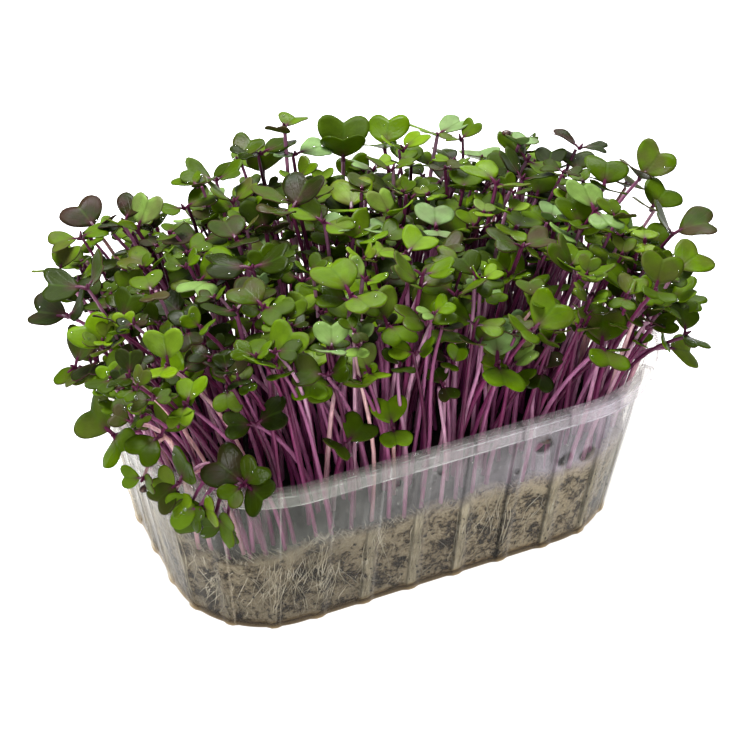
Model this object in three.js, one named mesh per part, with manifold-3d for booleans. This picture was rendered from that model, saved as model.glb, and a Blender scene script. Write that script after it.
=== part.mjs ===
// A tray of red-stemmed brassica microgreens: a clear fluted punnet, a block of growing medium, and bunches
// of seedlings, each bunch rooted in a plug of its own that sits in a plain hole in the medium.
// Units are millimetres, +Z is up, the long side lies along X, and the front is -Y.
// The origin is the middle of the punnet's footprint, on the surface that it stands on.
import * as THREE from "three";
import { mergeVertices } from "three/addons/utils/BufferGeometryUtils.js";
import Module from "manifold-3d";

const wasm = await Module();
wasm.setup();

// ---- Driving dimensions ----

const punnet = {
  length: 190, // over the rim
  width: 134,
  height: 71,
  cornerRadius: 47, // of the rim's outer edge, in plan
  wall: 0.8,
  flange: 4, // width of the rim's flat top
  skirt: 5.2, // depth of the rim's turned-down edge
  lean: 9.4, // how far the wall comes in from the rim to the foot
  footFillet: 3.6, // size of the rounded edge round the foot
  flutes: 30,
  fluteWidth: 5.4,
  fluteDepthFoot: 1.0,
  fluteDepthHead: 0.6,
};

const medium = {
  top: 39.5, // mean height of its crumbly surface
  relief: 1.3,
  cell: 32, // size of the surface's facets
};

const plug = { topRadius: 5.6, footRadius: 4.2, depth: 10, sides: 5 };

const clearance = 0.35; // gap between pieces that touch

const stand = {
  rows: 6, // of bunches, front to back
  pitchX: 21, // the least distance between bunches in a row
  pitchY: 17.4,
  rootInset: 12, // from the medium's edge to a bunch's centre
  splayX: 1.26, // distance of the tips from the middle, as a share of the roots'
  splayY: 1.2,
  reachX: 96, // furthest a drawn tip may lie from the middle
  reachY: 62,
  height: 71, // from the medium to the seed leaves, in the middle
  sideDrop: 12, // how much shorter the seedlings stand at the two ends
  frontWave: 9, // how much taller they stand at the front left, and shorter at the front right
  backDrop: 13,
  backRightDrop: 11,
  perBunch: 3,
  rootRadius: 2.4, // of the ring of stems in a plug
  draws: 100, // tries for each seedling, of which the one furthest from its neighbours is kept
};

const stem = { radius: 0.95, segments: 3, sunk: 4 }; // three-sided

// One half of a seed leaf's outline, [across, along], from its stalk to the top of a lobe.
const leaf = {
  outline: [
    [0.65, 3.3],
    [4.8, 5],
    [6.8, 8.5],
    [4.1, 12.3],
  ],
  notch: 9.9, // between the two lobes
  thickness: 0.64,
  fold: 0.16, // rise of the lobes for each millimetre across
  smaller: 0.86, // size of a pair's second leaf
};

// Seedlings that stand out of the rest: where their leaves are, how large, and which way they point.
const strays = [
  { tip: [-81, -64, 69], size: 1, turn: 125, arch: 38 },
  { tip: [-89, -56, 79], size: 0.95, turn: 15, arch: 22 },
  { tip: [-71, -65, 79], size: 1.05, turn: 100, arch: 18 },
  { tip: [-100, -28, 80], size: 1.2, turn: 95, arch: 16 },
  { tip: [-91, -47, 91], size: 1, turn: 25, arch: 6 },
  { tip: [-64, -56, 93], size: 0.9, turn: -15 },
  { tip: [-84, -31, 95], size: 1, turn: 20, arch: 4 },
  { tip: [-97, 26, 89], size: 1.1, turn: 150, arch: 8 },
  { tip: [-97, 2, 85], size: 0.85, turn: 60, arch: 8 },
  { tip: [-76, 58, 98], size: 1.1, turn: 100, rise: 35 },
  { tip: [-35, -50, 94], size: 1.1, turn: 5 },
  { tip: [-36, -60, 79], size: 0.85, turn: 30 },
  { tip: [-20, -60, 80], size: 0.85, turn: 75 },
  { tip: [83, -55, 77], size: 1, turn: -10, arch: 14 },
  { tip: [92, -44, 88], size: 0.95, turn: 130, arch: 8 },
  { tip: [93, -32, 98], size: 1, turn: 100, arch: 4 },
  { tip: [94, -35, 107], size: 1.15, turn: -25, rise: 45 },
  { tip: [103, 1, 106], size: 1.1, turn: 20, rise: 50 },
  { tip: [92, 6, 102], size: 1.15, turn: 60, rise: 30 },
  { tip: [53, 58, 105], size: 1, turn: 10 },
  { tip: [14, 54, 106], size: 1.3, turn: 65, rise: 60 },
  { tip: [32, 58, 104], size: 1.1, turn: 50, rise: 40 },
  { tip: [-14, 60, 104], size: 1.1, turn: 90, rise: 45 },
  { tip: [-8, 54, 124], size: 0.75, turn: 40 },
];

// ---- Small tools ----

const radians = (degrees) => (degrees * Math.PI) / 180;
const mix = (a, b, share) => a + (b - a) * share;

// A seeded dice that gives the same numbers in every language: a Lehmer generator.
function dice(seed) {
  const multiplier = 48271;
  const modulus = 2147483647;
  let state = seed;
  return () => {
    state = (state * multiplier) % modulus;
    return state / modulus;
  };
}

function solidOf(geometry) {
  const bare = new THREE.BufferGeometry();
  bare.setAttribute("position", geometry.getAttribute("position"));
  bare.setIndex(geometry.getIndex());
  const merged = mergeVertices(bare, 1e-4);
  return new wasm.Manifold(
    new wasm.Mesh({
      numProp: 3,
      vertProperties: new Float32Array(merged.attributes.position.array),
      triVerts: new Uint32Array(merged.index.array),
    }),
  );
}

function geometryOf(solid) {
  const mesh = solid.getMesh();
  const geometry = new THREE.BufferGeometry();
  const positions = new THREE.BufferAttribute(mesh.vertProperties, mesh.numProp);
  geometry.setAttribute("position", positions);
  geometry.setIndex(new THREE.BufferAttribute(mesh.triVerts, 1));
  return geometry;
}

function geometryFrom(points, triangles) {
  const geometry = new THREE.BufferGeometry();
  const numbers = points.flatMap((point) => [point.x, point.y, point.z]);
  geometry.setAttribute("position", new THREE.Float32BufferAttribute(numbers, 3));
  geometry.setIndex(triangles);
  return geometry;
}

// A closed skin over rings of equal length. Rings run anticlockwise seen from the last one, and the ends are
// closed by a fan round each end ring's middle. Four-sided faces are split from their first corner, or from
// their second if told so.
function loft(rings, fromSecond = false) {
  const count = rings[0].length;
  const points = rings.flat();
  const triangles = [];
  for (let r = 0; r + 1 < rings.length; r++) {
    for (let i = 0; i < count; i++) {
      const j = (i + 1) % count;
      const [a, b, c, d] = [r * count + i, r * count + j, (r + 1) * count + j, (r + 1) * count + i];
      triangles.push(...(fromSecond ? [a, b, d, b, c, d] : [a, b, c, a, c, d]));
    }
  }
  const middle = (ring) => ring.reduce((sum, p) => sum.add(p), new THREE.Vector3()).divideScalar(count);
  const first = points.push(middle(rings[0])) - 1;
  const last = points.push(middle(rings.at(-1))) - 1;
  for (let i = 0; i < count; i++) {
    const j = (i + 1) % count;
    const end = (rings.length - 1) * count;
    triangles.push(first, j, i, last, end + i, end + j);
  }
  return geometryFrom(points, triangles);
}

// ---- The plan that the punnet and the medium share ----

// Every outline in plan lies a set distance from one rectangle, so the corners share their centres.
const spine = {
  x: punnet.length / 2 - punnet.cornerRadius,
  y: punnet.width / 2 - punnet.cornerRadius,
};
const footRadius = punnet.cornerRadius - punnet.flange - punnet.lean;
const fluteGaugeRadius = 38; // where the flutes' pitch and width are measured

// The point of the spine and the outward direction at a distance along the gauge outline, from the middle of
// the front, anticlockwise.
function station(distance) {
  const quarterTurn = (Math.PI / 2) * fluteGaugeRadius;
  const runs = [
    { length: spine.x, from: [0, -1], to: [1, -1], angle: -90, turn: 0 },
    { length: quarterTurn, from: [1, -1], to: [1, -1], angle: -90, turn: 90 },
    { length: 2 * spine.y, from: [1, -1], to: [1, 1], angle: 0, turn: 0 },
    { length: quarterTurn, from: [1, 1], to: [1, 1], angle: 0, turn: 90 },
    { length: 2 * spine.x, from: [1, 1], to: [-1, 1], angle: 90, turn: 0 },
    { length: quarterTurn, from: [-1, 1], to: [-1, 1], angle: 90, turn: 90 },
    { length: 2 * spine.y, from: [-1, 1], to: [-1, -1], angle: 180, turn: 0 },
    { length: quarterTurn, from: [-1, -1], to: [-1, -1], angle: 180, turn: 90 },
    { length: spine.x, from: [-1, -1], to: [0, -1], angle: 270, turn: 0 },
  ];
  const whole = runs.reduce((sum, run) => sum + run.length, 0);
  let left = (distance + whole) % whole;
  let run = runs[0];
  for (run of runs) {
    if (left <= run.length) break;
    left -= run.length;
  }
  const share = left / run.length;
  const angle = radians(run.angle + run.turn * share);
  return {
    x: mix(run.from[0], run.to[0], share) * spine.x,
    y: mix(run.from[1], run.to[1], share) * spine.y,
    outX: Math.cos(angle),
    outY: Math.sin(angle),
  };
}

// Three stations to a flute: its two feet on the wall, with its crest between them.
function fluteStations() {
  const whole = 4 * (spine.x + spine.y) + 2 * Math.PI * fluteGaugeRadius;
  const pitch = whole / punnet.flutes;
  const stations = [];
  for (let i = 0; i < punnet.flutes; i++) {
    const centre = (i + 0.5) * pitch;
    for (const [place, crest] of [[-0.5, 0], [0, 1], [0.5, 0]]) {
      stations.push({ ...station(centre + place * punnet.fluteWidth), crest });
    }
  }
  return stations;
}

const stations = fluteStations();

function outline(radius, height, fluteDepth = 0) {
  return stations.map((s) => {
    const out = radius + s.crest * fluteDepth;
    return new THREE.Vector3(s.x + s.outX * out, s.y + s.outY * out, height);
  });
}

// Outer radius and flute depth of the punnet's wall at a height.
const wallFoot = punnet.footFillet;
const wallHead = punnet.height - punnet.skirt - 1;
const headRadius = punnet.cornerRadius - punnet.flange - 0.3;

function wallAt(height) {
  const share = (height - wallFoot) / (wallHead - wallFoot);
  return {
    radius: mix(footRadius, headRadius, share),
    flute: mix(punnet.fluteDepthFoot, punnet.fluteDepthHead, share),
  };
}

// ---- The pieces ----

function makePunnet() {
  const { wall, height, cornerRadius, flange, skirt, footFillet } = punnet;
  const foot = wallAt(wallFoot);
  const head = wallAt(wallHead);
  const mouth = cornerRadius - flange;
  return loft([
    outline(foot.radius - wall - footFillet, wall),
    outline(foot.radius - wall, wallFoot + wall, foot.flute),
    outline(head.radius - wall, wallHead, head.flute),
    outline(mouth - wall, height),
    outline(cornerRadius, height),
    outline(cornerRadius, height - skirt),
    outline(cornerRadius - wall, height - skirt),
    outline(cornerRadius - wall, height - wall),
    outline(mouth, height - wall),
    outline(head.radius, wallHead, head.flute),
    outline(foot.radius, wallFoot, foot.flute),
    outline(foot.radius - footFillet, 0),
  ].reverse());
}

// Height of the crumbly surface of the medium.
function mediumTop(x, y) {
  const waves = Math.sin(x * 0.11 + 0.6) * Math.cos(y * 0.13 - 0.4) + 0.6 * Math.sin(x * 0.31 - y * 0.27);
  return medium.top + medium.relief * waves;
}

// A block with a flat underside whose top is the crumbly surface.
function makeSurfaceBlock() {
  const halfX = punnet.length / 2;
  const halfY = punnet.width / 2;
  const columns = Math.round((2 * halfX) / medium.cell);
  const rows = Math.round((2 * halfY) / medium.cell);
  const block = new THREE.BoxGeometry(2 * halfX, 2 * halfY, 1, columns, rows, 1);
  const position = block.getAttribute("position");
  for (let i = 0; i < position.count; i++) {
    const top = position.getZ(i) > 0;
    position.setZ(i, top ? mediumTop(position.getX(i), position.getY(i)) : -1);
  }
  return block;
}

// A bunch's root plug, or the hole for it, which is wider all round and open above.
function makePlugGeometry(centre, wider, above) {
  const surface = mediumTop(centre.x, centre.y);
  const top = surface + above;
  const foot = surface - plug.depth - wider;
  const radiusAt = (z) =>
    mix(plug.footRadius, plug.topRadius, (z - surface + plug.depth) / plug.depth) + wider;
  return new THREE.CylinderGeometry(radiusAt(top), radiusAt(foot), top - foot, plug.sides)
    .rotateX(Math.PI / 2)
    .translate(centre.x, centre.y, (top + foot) / 2);
}

function makeMedium(centres) {
  const { wall, footFillet } = punnet;
  const foot = wallAt(wallFoot);
  const head = wallAt(wallHead);
  const rings = [
    outline(foot.radius - wall - footFillet - clearance, wall + clearance),
    outline(foot.radius - wall - clearance, wallFoot + wall + clearance, foot.flute),
    outline(head.radius - wall - clearance, wallHead, head.flute),
  ];
  const inside = loft(rings, true);
  const holes = centres.map((centre) => solidOf(makePlugGeometry(centre, clearance, 4)));
  const filled = solidOf(inside).intersect(solidOf(makeSurfaceBlock()));
  return geometryOf(filled.subtract(wasm.Manifold.union(holes)));
}

// ---- The seedlings' places ----

// Centres of the bunches, row by row, over the part of the medium that is rootInset clear of its edge.
function bunchCentres() {
  const reach = wallAt(medium.top).radius - punnet.wall - stand.rootInset;
  const centres = [];
  for (let row = 0; row < stand.rows; row++) {
    const y = (row - (stand.rows - 1) / 2) * stand.pitchY;
    const beyond = Math.max(0, Math.abs(y) - spine.y);
    const halfX = spine.x + Math.sqrt(reach * reach - beyond * beyond);
    const count = Math.floor((2 * halfX) / stand.pitchX) + 1;
    for (let column = 0; column < count; column++) {
      centres.push({ row, column, x: mix(-halfX, halfX, column / (count - 1)), y });
    }
  }
  return centres;
}

// A root on the ring of stems in a bunch's plug.
function rootOf({ row, column, x, y }, order) {
  const angle = radians(order * (360 / stand.perBunch) + 37 * row + 71 * column);
  const rootX = x + stand.rootRadius * Math.cos(angle);
  const rootY = y + stand.rootRadius * Math.sin(angle);
  return [rootX, rootY, mediumTop(rootX, rootY)];
}

// Middles of a seedling's two leaves.
function leafMiddles(seedling) {
  const angle = radians(seedling.turn);
  const [x, y, z] = seedling.tip;
  return [8.5, -8.5].map((reach) => {
    const out = reach * seedling.size;
    return [x + out * Math.cos(angle), y + out * Math.sin(angle), z + 3];
  });
}

// Where a seedling's stem is at a height, or nothing above its leaves.
function stemAt(seedling, height) {
  const { root, tip } = seedling;
  if (height > tip[2]) return null;
  const bend = stemBend(seedling);
  const a = root[2] - 2 * bend[2] + tip[2];
  const b = 2 * (bend[2] - root[2]);
  const c = root[2] - height;
  const share = (-b + Math.sqrt(Math.max(0, b * b - 4 * a * c))) / (2 * a);
  return stemPoint(seedling, share);
}

// Room between two seedlings, in millimetres between leaf middles. Leaves lie nearly flat, so a step up
// counts for more, and a stem may come nearer than a leaf.
function roomBetween(one, other) {
  let room = Infinity;
  for (const [x, y, z] of leafMiddles(one)) {
    for (const [u, v, w] of leafMiddles(other)) {
      room = Math.min(room, Math.hypot(x - u, y - v, 2 * (z - w)));
    }
  }
  for (const [leafy, bare] of [[one, other], [other, one]]) {
    for (const [x, y, z] of leafMiddles(leafy)) {
      const point = stemAt(bare, z);
      if (point) room = Math.min(room, 1.6 * Math.hypot(x - point[0], y - point[1]));
    }
  }
  for (const height of [55, 70, 85, 100]) {
    const [first, second] = [stemAt(one, height), stemAt(other, height)];
    if (first && second) room = Math.min(room, 4 * Math.hypot(first[0] - second[0], first[1] - second[1]));
  }
  return room;
}

// Whether a stem that leans out over the rim passes clear above it.
function clearsRim(seedling) {
  for (let share = 0.3; share < 1; share += 0.1) {
    const [x, y, z] = stemPoint(seedling, share);
    const out = Math.hypot(Math.max(0, Math.abs(x) - spine.x), Math.max(0, Math.abs(y) - spine.y));
    if (out > 40 && z < punnet.height + 3) return false;
  }
  return true;
}

// Mean height of the seed leaves over a root. The stand is domed, and its back right corner is thin.
function standHeight(x, y) {
  const across = THREE.MathUtils.clamp(x / 75, -1, 1);
  const deep = THREE.MathUtils.clamp(y / 44, -1, 1);
  const side = stand.sideDrop * Math.abs(across) ** 3;
  const front = stand.frontWave * Math.sin(Math.PI * across) * Math.max(0, -deep) ** 2;
  const back = (stand.backDrop + stand.backRightDrop * Math.max(0, across)) * Math.max(0, deep) ** 2;
  return medium.top + stand.height - side - front - back;
}

// One draw of the dice for a seedling: its bunch leans out from the middle and fans out.
function drawSeedling(centre, root, roll) {
  const fan = 2.6;
  const x = centre.x * stand.splayX + fan * (root[0] - centre.x) + (roll() - 0.5) * 14;
  const y = centre.y * stand.splayY + fan * (root[1] - centre.y) + (roll() - 0.5) * 14;
  const tip = [
    THREE.MathUtils.clamp(x, -stand.reachX, stand.reachX),
    THREE.MathUtils.clamp(y, -stand.reachY, stand.reachY),
    standHeight(centre.x, centre.y) + roll() * 24 - 15,
  ];
  const turn = roll() * 180;
  const size = 0.82 + 0.36 * roll();
  const rise = 10 + 34 * roll();
  return { root, tip, turn, size, rise, arch: 0 };
}

// Places of all the seedlings: the strays first, so that the rest keep clear of them.
function sowSeedlings(centres) {
  const slots = [];
  for (const centre of centres) {
    for (let order = 0; order < stand.perBunch; order++) {
      slots.push({ centre, root: rootOf(centre, order), seedling: null });
    }
  }
  const sown = [];
  const keep = (slot, seedling) => {
    slot.seedling = seedling;
    sown.push(seedling);
  };
  for (const stray of strays) {
    const distance = ({ root }) =>
      Math.hypot(root[0] - stray.tip[0] / stand.splayX, root[1] - stray.tip[1] / stand.splayY);
    const free = slots.filter((slot) => !slot.seedling);
    const slot = free.reduce((best, one) => (distance(one) < distance(best) ? one : best));
    keep(slot, { rise: 25, arch: 0, ...stray, root: slot.root });
  }
  const roll = dice(1592);
  for (const slot of slots.filter((one) => !one.seedling)) {
    let best = null;
    for (let draw = 0; draw < stand.draws; draw++) {
      const seedling = drawSeedling(slot.centre, slot.root, roll);
      const room = clearsRim(seedling) ? Math.min(...sown.map((one) => roomBetween(seedling, one))) : 0;
      if (!best || room > best.room) best = { seedling, room };
    }
    keep(slot, best.seedling);
  }
  return { slots, sown };
}

// ---- A seedling ----

// The stem's curve rises straight at first and leans out further up. This is its middle control point.
function stemBend({ root, tip, arch }) {
  return [mix(root[0], tip[0], 0.3), mix(root[1], tip[1], 0.3), mix(root[2], tip[2], 0.62) + arch];
}

function stemPoint(seedling, share) {
  const { root, tip } = seedling;
  const bend = stemBend(seedling);
  const rest = 1 - share;
  return [0, 1, 2].map((i) => rest * rest * root[i] + 2 * rest * share * bend[i] + share * share * tip[i]);
}

// Triangular rings round the stem's curve, from its sunken foot to just below the leaves.
function stemRings(seedling) {
  const path = [0, 1, 2].map((i) => new THREE.Vector3(...stemPoint(seedling, i / stem.segments)));
  path[0].z -= stem.sunk;
  return path.map((point, i) => {
    const next = path[i + 1] ?? new THREE.Vector3(...seedling.tip);
    const along = next.clone().sub(path[Math.max(0, i - 1)]).normalize();
    const heading = radians(seedling.turn);
    const ahead = new THREE.Vector3(Math.cos(heading), Math.sin(heading), 0);
    ahead.addScaledVector(along, -ahead.dot(along)).normalize();
    const aside = along.clone().cross(ahead);
    return [0, 120, 240].map((angle) =>
      point
        .clone()
        .addScaledVector(ahead, -stem.radius * Math.cos(radians(angle)))
        .addScaledVector(aside, -stem.radius * Math.sin(radians(angle))),
    );
  });
}

// The pair of seed leaves is one blade: two hearts joined by their stalks, two faces alike and an edge round
// them. The stem's top ring is part of the under face, so the seedling is one closed skin.
function makeSeedling(seedling) {
  const tip = new THREE.Vector3(...seedling.tip);
  const up = tip.clone().sub(new THREE.Vector3(...stemPoint(seedling, 0.85))).normalize();
  up.z += 0.8;
  up.normalize();
  const heading = radians(seedling.turn);
  const ahead = new THREE.Vector3(Math.cos(heading), Math.sin(heading), 0);
  ahead.addScaledVector(up, -ahead.dot(up)).normalize();
  const aside = up.clone().cross(ahead);
  const hub = 1.25; // half the width of the blade where the stem meets it

  const top = [tip.clone().addScaledVector(aside, hub), tip.clone().addScaledVector(aside, -hub)];
  const lifts = [up, up];
  for (const [side, share] of [[1, 1], [-1, leaf.smaller]]) {
    const size = seedling.size * share;
    const rise = radians(seedling.rise);
    const along = ahead.clone().multiplyScalar(side * Math.cos(rise)).addScaledVector(up, Math.sin(rise));
    const across = aside.clone().multiplyScalar(-side);
    const normal = across.clone().cross(along);
    const half = leaf.outline.map(([w, l]) => [w * size, l * size]);
    const round = [...half, [0, leaf.notch * size], ...half.map(([w, l]) => [-w, l]).reverse()];
    for (const [w, l] of round) {
      const point = tip.clone().addScaledVector(across, w).addScaledVector(along, l);
      top.push(point.addScaledVector(normal, leaf.fold * Math.abs(w)));
      lifts.push(normal);
    }
  }

  // The outline runs anticlockwise seen from above: a corner of the hub, a heart, the other corner, a heart.
  const perLeaf = 2 * leaf.outline.length + 1;
  const heart = (start) => Array.from({ length: perLeaf }, (_, i) => start + i);
  const loop = [1, ...heart(2), 0, ...heart(2 + perLeaf)];
  const faces = [];
  for (const [from, to, ring] of [[1, 0, heart(2)], [0, 1, heart(2 + perLeaf)]]) {
    const middle = leaf.outline.length;
    faces.push([from, ring[0], ring.at(-1)], [ring[0], ring[middle], ring.at(-1)]);
    for (let i = 0; i + 1 < middle; i++) {
      faces.push([ring[i], ring[i + 1], ring[middle]], [ring.at(-2 - i), ring.at(-1 - i), ring[middle]]);
    }
    faces.push([from, ring.at(-1), to]);
  }
  const count = top.length;
  const points = [
    ...top.map((p, i) => p.clone().addScaledVector(lifts[i], leaf.thickness / 2)),
    ...top.map((p, i) => p.clone().addScaledVector(lifts[i], -leaf.thickness / 2)),
  ];
  const triangles = faces.flat();
  for (let i = 0; i < count; i++) {
    const [a, b] = [loop[i], loop[(i + 1) % count]];
    triangles.push(a, a + count, b + count, a, b + count, b);
  }

  // The under face, opened at the hub into the stem's three sides.
  const bottom = points.push(tip.clone().addScaledVector(ahead, -stem.radius).addScaledVector(up, -0.4)) - 1;
  const second = heart(2 + perLeaf);
  for (const [a, b, c] of faces.filter((face) => !(face[0] === 0 && face.includes(second.at(-1))))) {
    triangles.push(a + count, c + count, b + count);
  }
  const [nearFoot, farFoot] = [second[0] + count, second.at(-1) + count];
  triangles.push(0 + count, bottom, nearFoot, nearFoot, bottom, farFoot, farFoot, bottom, 1 + count);
  const rings = stemRings(seedling);
  const starts = rings.map((ring) => points.push(...ring) - ring.length);
  const sides = [...starts.map((start) => [start, start + 1, start + 2]), [bottom, 1 + count, 0 + count]];
  for (let r = 0; r + 1 < sides.length; r++) {
    const [lower, upper] = [sides[r], sides[r + 1]];
    for (const [i, j] of [[0, 1], [1, 2], [2, 0]]) {
      triangles.push(lower[i], lower[j], upper[j], lower[i], upper[j], upper[i]);
    }
  }
  triangles.push(sides[0][0], sides[0][2], sides[0][1]);
  return solidOf(geometryFrom(points, triangles));
}

// The bunches as solids. A seedling that would cross another piece is left out.
function growBunches(centres, { slots, sown }, obstacles) {
  const standing = [...obstacles];
  const solids = new Map();
  for (const seedling of sown) {
    const solid = makeSeedling(seedling);
    if (standing.some((other) => !other.intersect(solid).isEmpty())) continue;
    standing.push(solid);
    solids.set(seedling, solid);
  }
  return centres.map((centre) => {
    const own = slots.filter((slot) => slot.centre === centre && solids.has(slot.seedling));
    const stems = own.map((slot) => solids.get(slot.seedling));
    return wasm.Manifold.union([solidOf(makePlugGeometry(centre, 0, 0.3)), ...stems]);
  });
}

// ---- The tray ----

const materials = {
  punnet: new THREE.MeshStandardMaterial({
    color: 0xdfe4e6,
    roughness: 0.08,
    metalness: 0,
    transparent: true,
    opacity: 0.3,
  }),
  medium: new THREE.MeshStandardMaterial({ color: 0x2f2620, roughness: 0.95, metalness: 0 }),
  seedlings: new THREE.MeshStandardMaterial({ color: 0x5d8a2c, roughness: 0.5, metalness: 0 }),
};

function addMesh(group, name, geometry, material) {
  const mesh = new THREE.Mesh(geometry, material);
  mesh.name = name;
  group.add(mesh);
}

const tray = new THREE.Group();
const centres = bunchCentres();
const punnetGeometry = makePunnet();
const mediumGeometry = makeMedium(centres);
addMesh(tray, "punnet", punnetGeometry, materials.punnet);
addMesh(tray, "growing_medium", mediumGeometry, materials.medium);
const obstacles = [solidOf(punnetGeometry), solidOf(mediumGeometry)];
growBunches(centres, sowSeedlings(centres), obstacles).forEach((solid, i) => {
  const { row, column } = centres[i];
  addMesh(tray, `seedlings_row${row + 1}_${column + 1}`, geometryOf(solid), materials.seedlings);
});

export default tray;
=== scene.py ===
# A tray of red-stemmed brassica microgreens in a clear fluted punnet, on a white table in a studio.
# Settings are in millimetres and degrees, and meshes are written in metres.
import math
import bpy
import numpy as np
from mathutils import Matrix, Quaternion, Vector, noise


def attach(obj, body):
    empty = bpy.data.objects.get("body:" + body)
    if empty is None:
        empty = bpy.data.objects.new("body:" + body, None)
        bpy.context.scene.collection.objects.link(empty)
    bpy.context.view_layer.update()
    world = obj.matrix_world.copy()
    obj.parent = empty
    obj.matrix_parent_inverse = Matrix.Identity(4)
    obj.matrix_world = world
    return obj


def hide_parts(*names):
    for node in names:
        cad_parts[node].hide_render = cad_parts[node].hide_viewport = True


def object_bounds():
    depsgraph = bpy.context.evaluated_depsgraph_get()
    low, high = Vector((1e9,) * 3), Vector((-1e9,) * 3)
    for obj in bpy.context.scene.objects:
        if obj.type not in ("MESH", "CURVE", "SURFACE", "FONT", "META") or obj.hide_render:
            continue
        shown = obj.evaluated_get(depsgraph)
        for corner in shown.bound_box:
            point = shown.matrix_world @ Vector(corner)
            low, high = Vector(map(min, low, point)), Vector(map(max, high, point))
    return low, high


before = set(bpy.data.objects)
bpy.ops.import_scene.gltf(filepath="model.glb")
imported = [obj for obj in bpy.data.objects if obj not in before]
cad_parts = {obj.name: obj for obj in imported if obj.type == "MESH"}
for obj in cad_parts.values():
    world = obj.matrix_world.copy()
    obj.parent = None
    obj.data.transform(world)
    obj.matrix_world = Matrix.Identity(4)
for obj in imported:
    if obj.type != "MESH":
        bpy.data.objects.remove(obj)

mm = 0.001
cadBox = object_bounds()


def linearColour(hexCode):
    parts = [int(hexCode[i:i + 2], 16) / 255 for i in (1, 3, 5)]
    return (*[p / 12.92 if p <= 0.04045 else ((p + 0.055) / 1.055) ** 2.4 for p in parts], 1.0)


def mix(a, b, share):
    return a + (b - a) * share


def smoothStep(low, high, value):
    share = np.clip((np.asarray(value, dtype=float) - low) / (high - low), 0, 1)
    return share * share * (3 - 2 * share)


def dice(seed):
    # A Lehmer generator, so that the same numbers come out in every program.
    state = seed
    while True:
        state = state * 48271 % 2147483647
        yield state / 2147483647


def unit(vector):
    return vector / np.linalg.norm(vector)


def deselectAll():
    if bpy.context.object and bpy.context.object.mode == "EDIT":
        bpy.ops.object.mode_set(mode="OBJECT")
    bpy.ops.object.select_all(action="DESELECT")


def activate(obj):
    deselectAll()
    obj.select_set(True)
    bpy.context.view_layer.objects.active = obj


def pointsOf(mesh):
    flat = np.empty(len(mesh.vertices) * 3)
    mesh.vertices.foreach_get("co", flat)
    return flat.reshape(-1, 3) / mm


def setPoints(mesh, points):
    mesh.vertices.foreach_set("co", (np.asarray(points) * mm).ravel())
    mesh.update()


def setAttribute(mesh, name, values):
    # One number or three for each point.
    kind, field = ("FLOAT", "value") if values.ndim == 1 else ("FLOAT_VECTOR", "vector")
    layer = mesh.attributes.get(name) or mesh.attributes.new(name, kind, "POINT")
    layer.data.foreach_set(field, values.ravel())


def applyAll(obj):
    activate(obj)
    for modifier in list(obj.modifiers):
        bpy.ops.object.modifier_apply(modifier=modifier.name)


def smoothFaces(obj, angle=None):
    activate(obj)
    if angle is None:
        bpy.ops.object.shade_smooth()
    else:
        bpy.ops.object.shade_smooth_by_angle(angle=math.radians(angle))


def closeSeams(obj, distance=0.02):
    # Merges what meets, then turns every face outwards.
    activate(obj)
    bpy.ops.object.mode_set(mode="EDIT")
    bpy.ops.mesh.select_all(action="SELECT")
    bpy.ops.mesh.remove_doubles(threshold=distance * mm)
    bpy.ops.mesh.normals_make_consistent(inside=False)
    bpy.ops.object.mode_set(mode="OBJECT")


def joined(parts, name):
    activate(parts[0])
    for part in parts:
        part.select_set(True)
    bpy.ops.object.join()
    piece = bpy.context.object
    piece.name = name
    piece.data.name = name
    return piece


def copyOf(master, points):
    piece = master.copy()
    piece.data = master.data.copy()
    bpy.context.collection.objects.link(piece)
    setPoints(piece.data, points)
    return piece


def onRoot(piece, *nodes, slot):
    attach(piece, "root")
    if nodes:
        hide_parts(*nodes)


def newMaterial(name):
    # The material, and the function that adds a node to it with its settings and links. Inputs are given by
    # name or number, or as a list from the first on. A node among them stands for its first output in use.
    material = bpy.data.materials.new(name)
    material.use_nodes = True
    tree = material.node_tree
    tree.nodes.clear()

    def addNode(kind, inputs, stops=(), **settings):
        node = tree.nodes.new("ShaderNode" + kind)
        for setting, value in settings.items():
            setattr(node, setting, value)
        for socket, value in inputs.items() if isinstance(inputs, dict) else enumerate(inputs):
            if isinstance(value, bpy.types.Node):
                value = next(output for output in value.outputs if output.enabled)
            if isinstance(value, bpy.types.NodeSocket):
                tree.links.new(value, node.inputs[socket])
            else:
                node.inputs[socket].default_value = linearColour(value) if isinstance(value, str) else value
        for i, (position, colour) in enumerate(stops):
            elements = node.color_ramp.elements
            element = elements[i] if i < 2 else elements.new(position)
            element.position = position
            element.color = linearColour(colour)
        return node

    return material, addNode


studio = {
    "cameraAt": (-221.79, -473.27, 450.84),
    "azimuth": -25.31,
    "elevation": 37.27,
    "roll": 0.817,
    "lens": 91.16,
    "worldStrength": 0.2,
    "worldColour": "#ffffff",
    "keyAt": (-110, 330, 880),
    "keySize": 420,
    "keyPower": 22.5,
    "rimAt": (500, 620, 620),
    "rimSize": 500,
    "rimPower": 6,
    "frontAt": (-470, -650, 420),
    "frontSize": 260,
    "frontPower": 5.8,
    "floorColour": "#c4c4c4",
    "floorGlow": 0.86,
}


def addCamera():
    azimuth, elevation = math.radians(studio["azimuth"]), math.radians(studio["elevation"])
    back = Vector((
        math.sin(azimuth) * math.cos(elevation),
        -math.cos(azimuth) * math.cos(elevation),
        math.sin(elevation),
    ))
    bpy.ops.object.camera_add(location=[c * mm for c in studio["cameraAt"]])
    camera = bpy.context.object
    camera.rotation_mode = "QUATERNION"
    roll = Quaternion((0, 0, 1), math.radians(studio["roll"]))
    camera.rotation_quaternion = (-back).to_track_quat("-Z", "Y") @ roll
    camera.data.lens = studio["lens"]
    camera.data.sensor_width = 36
    camera.data.clip_start = 0.01
    bpy.context.scene.camera = camera


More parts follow.
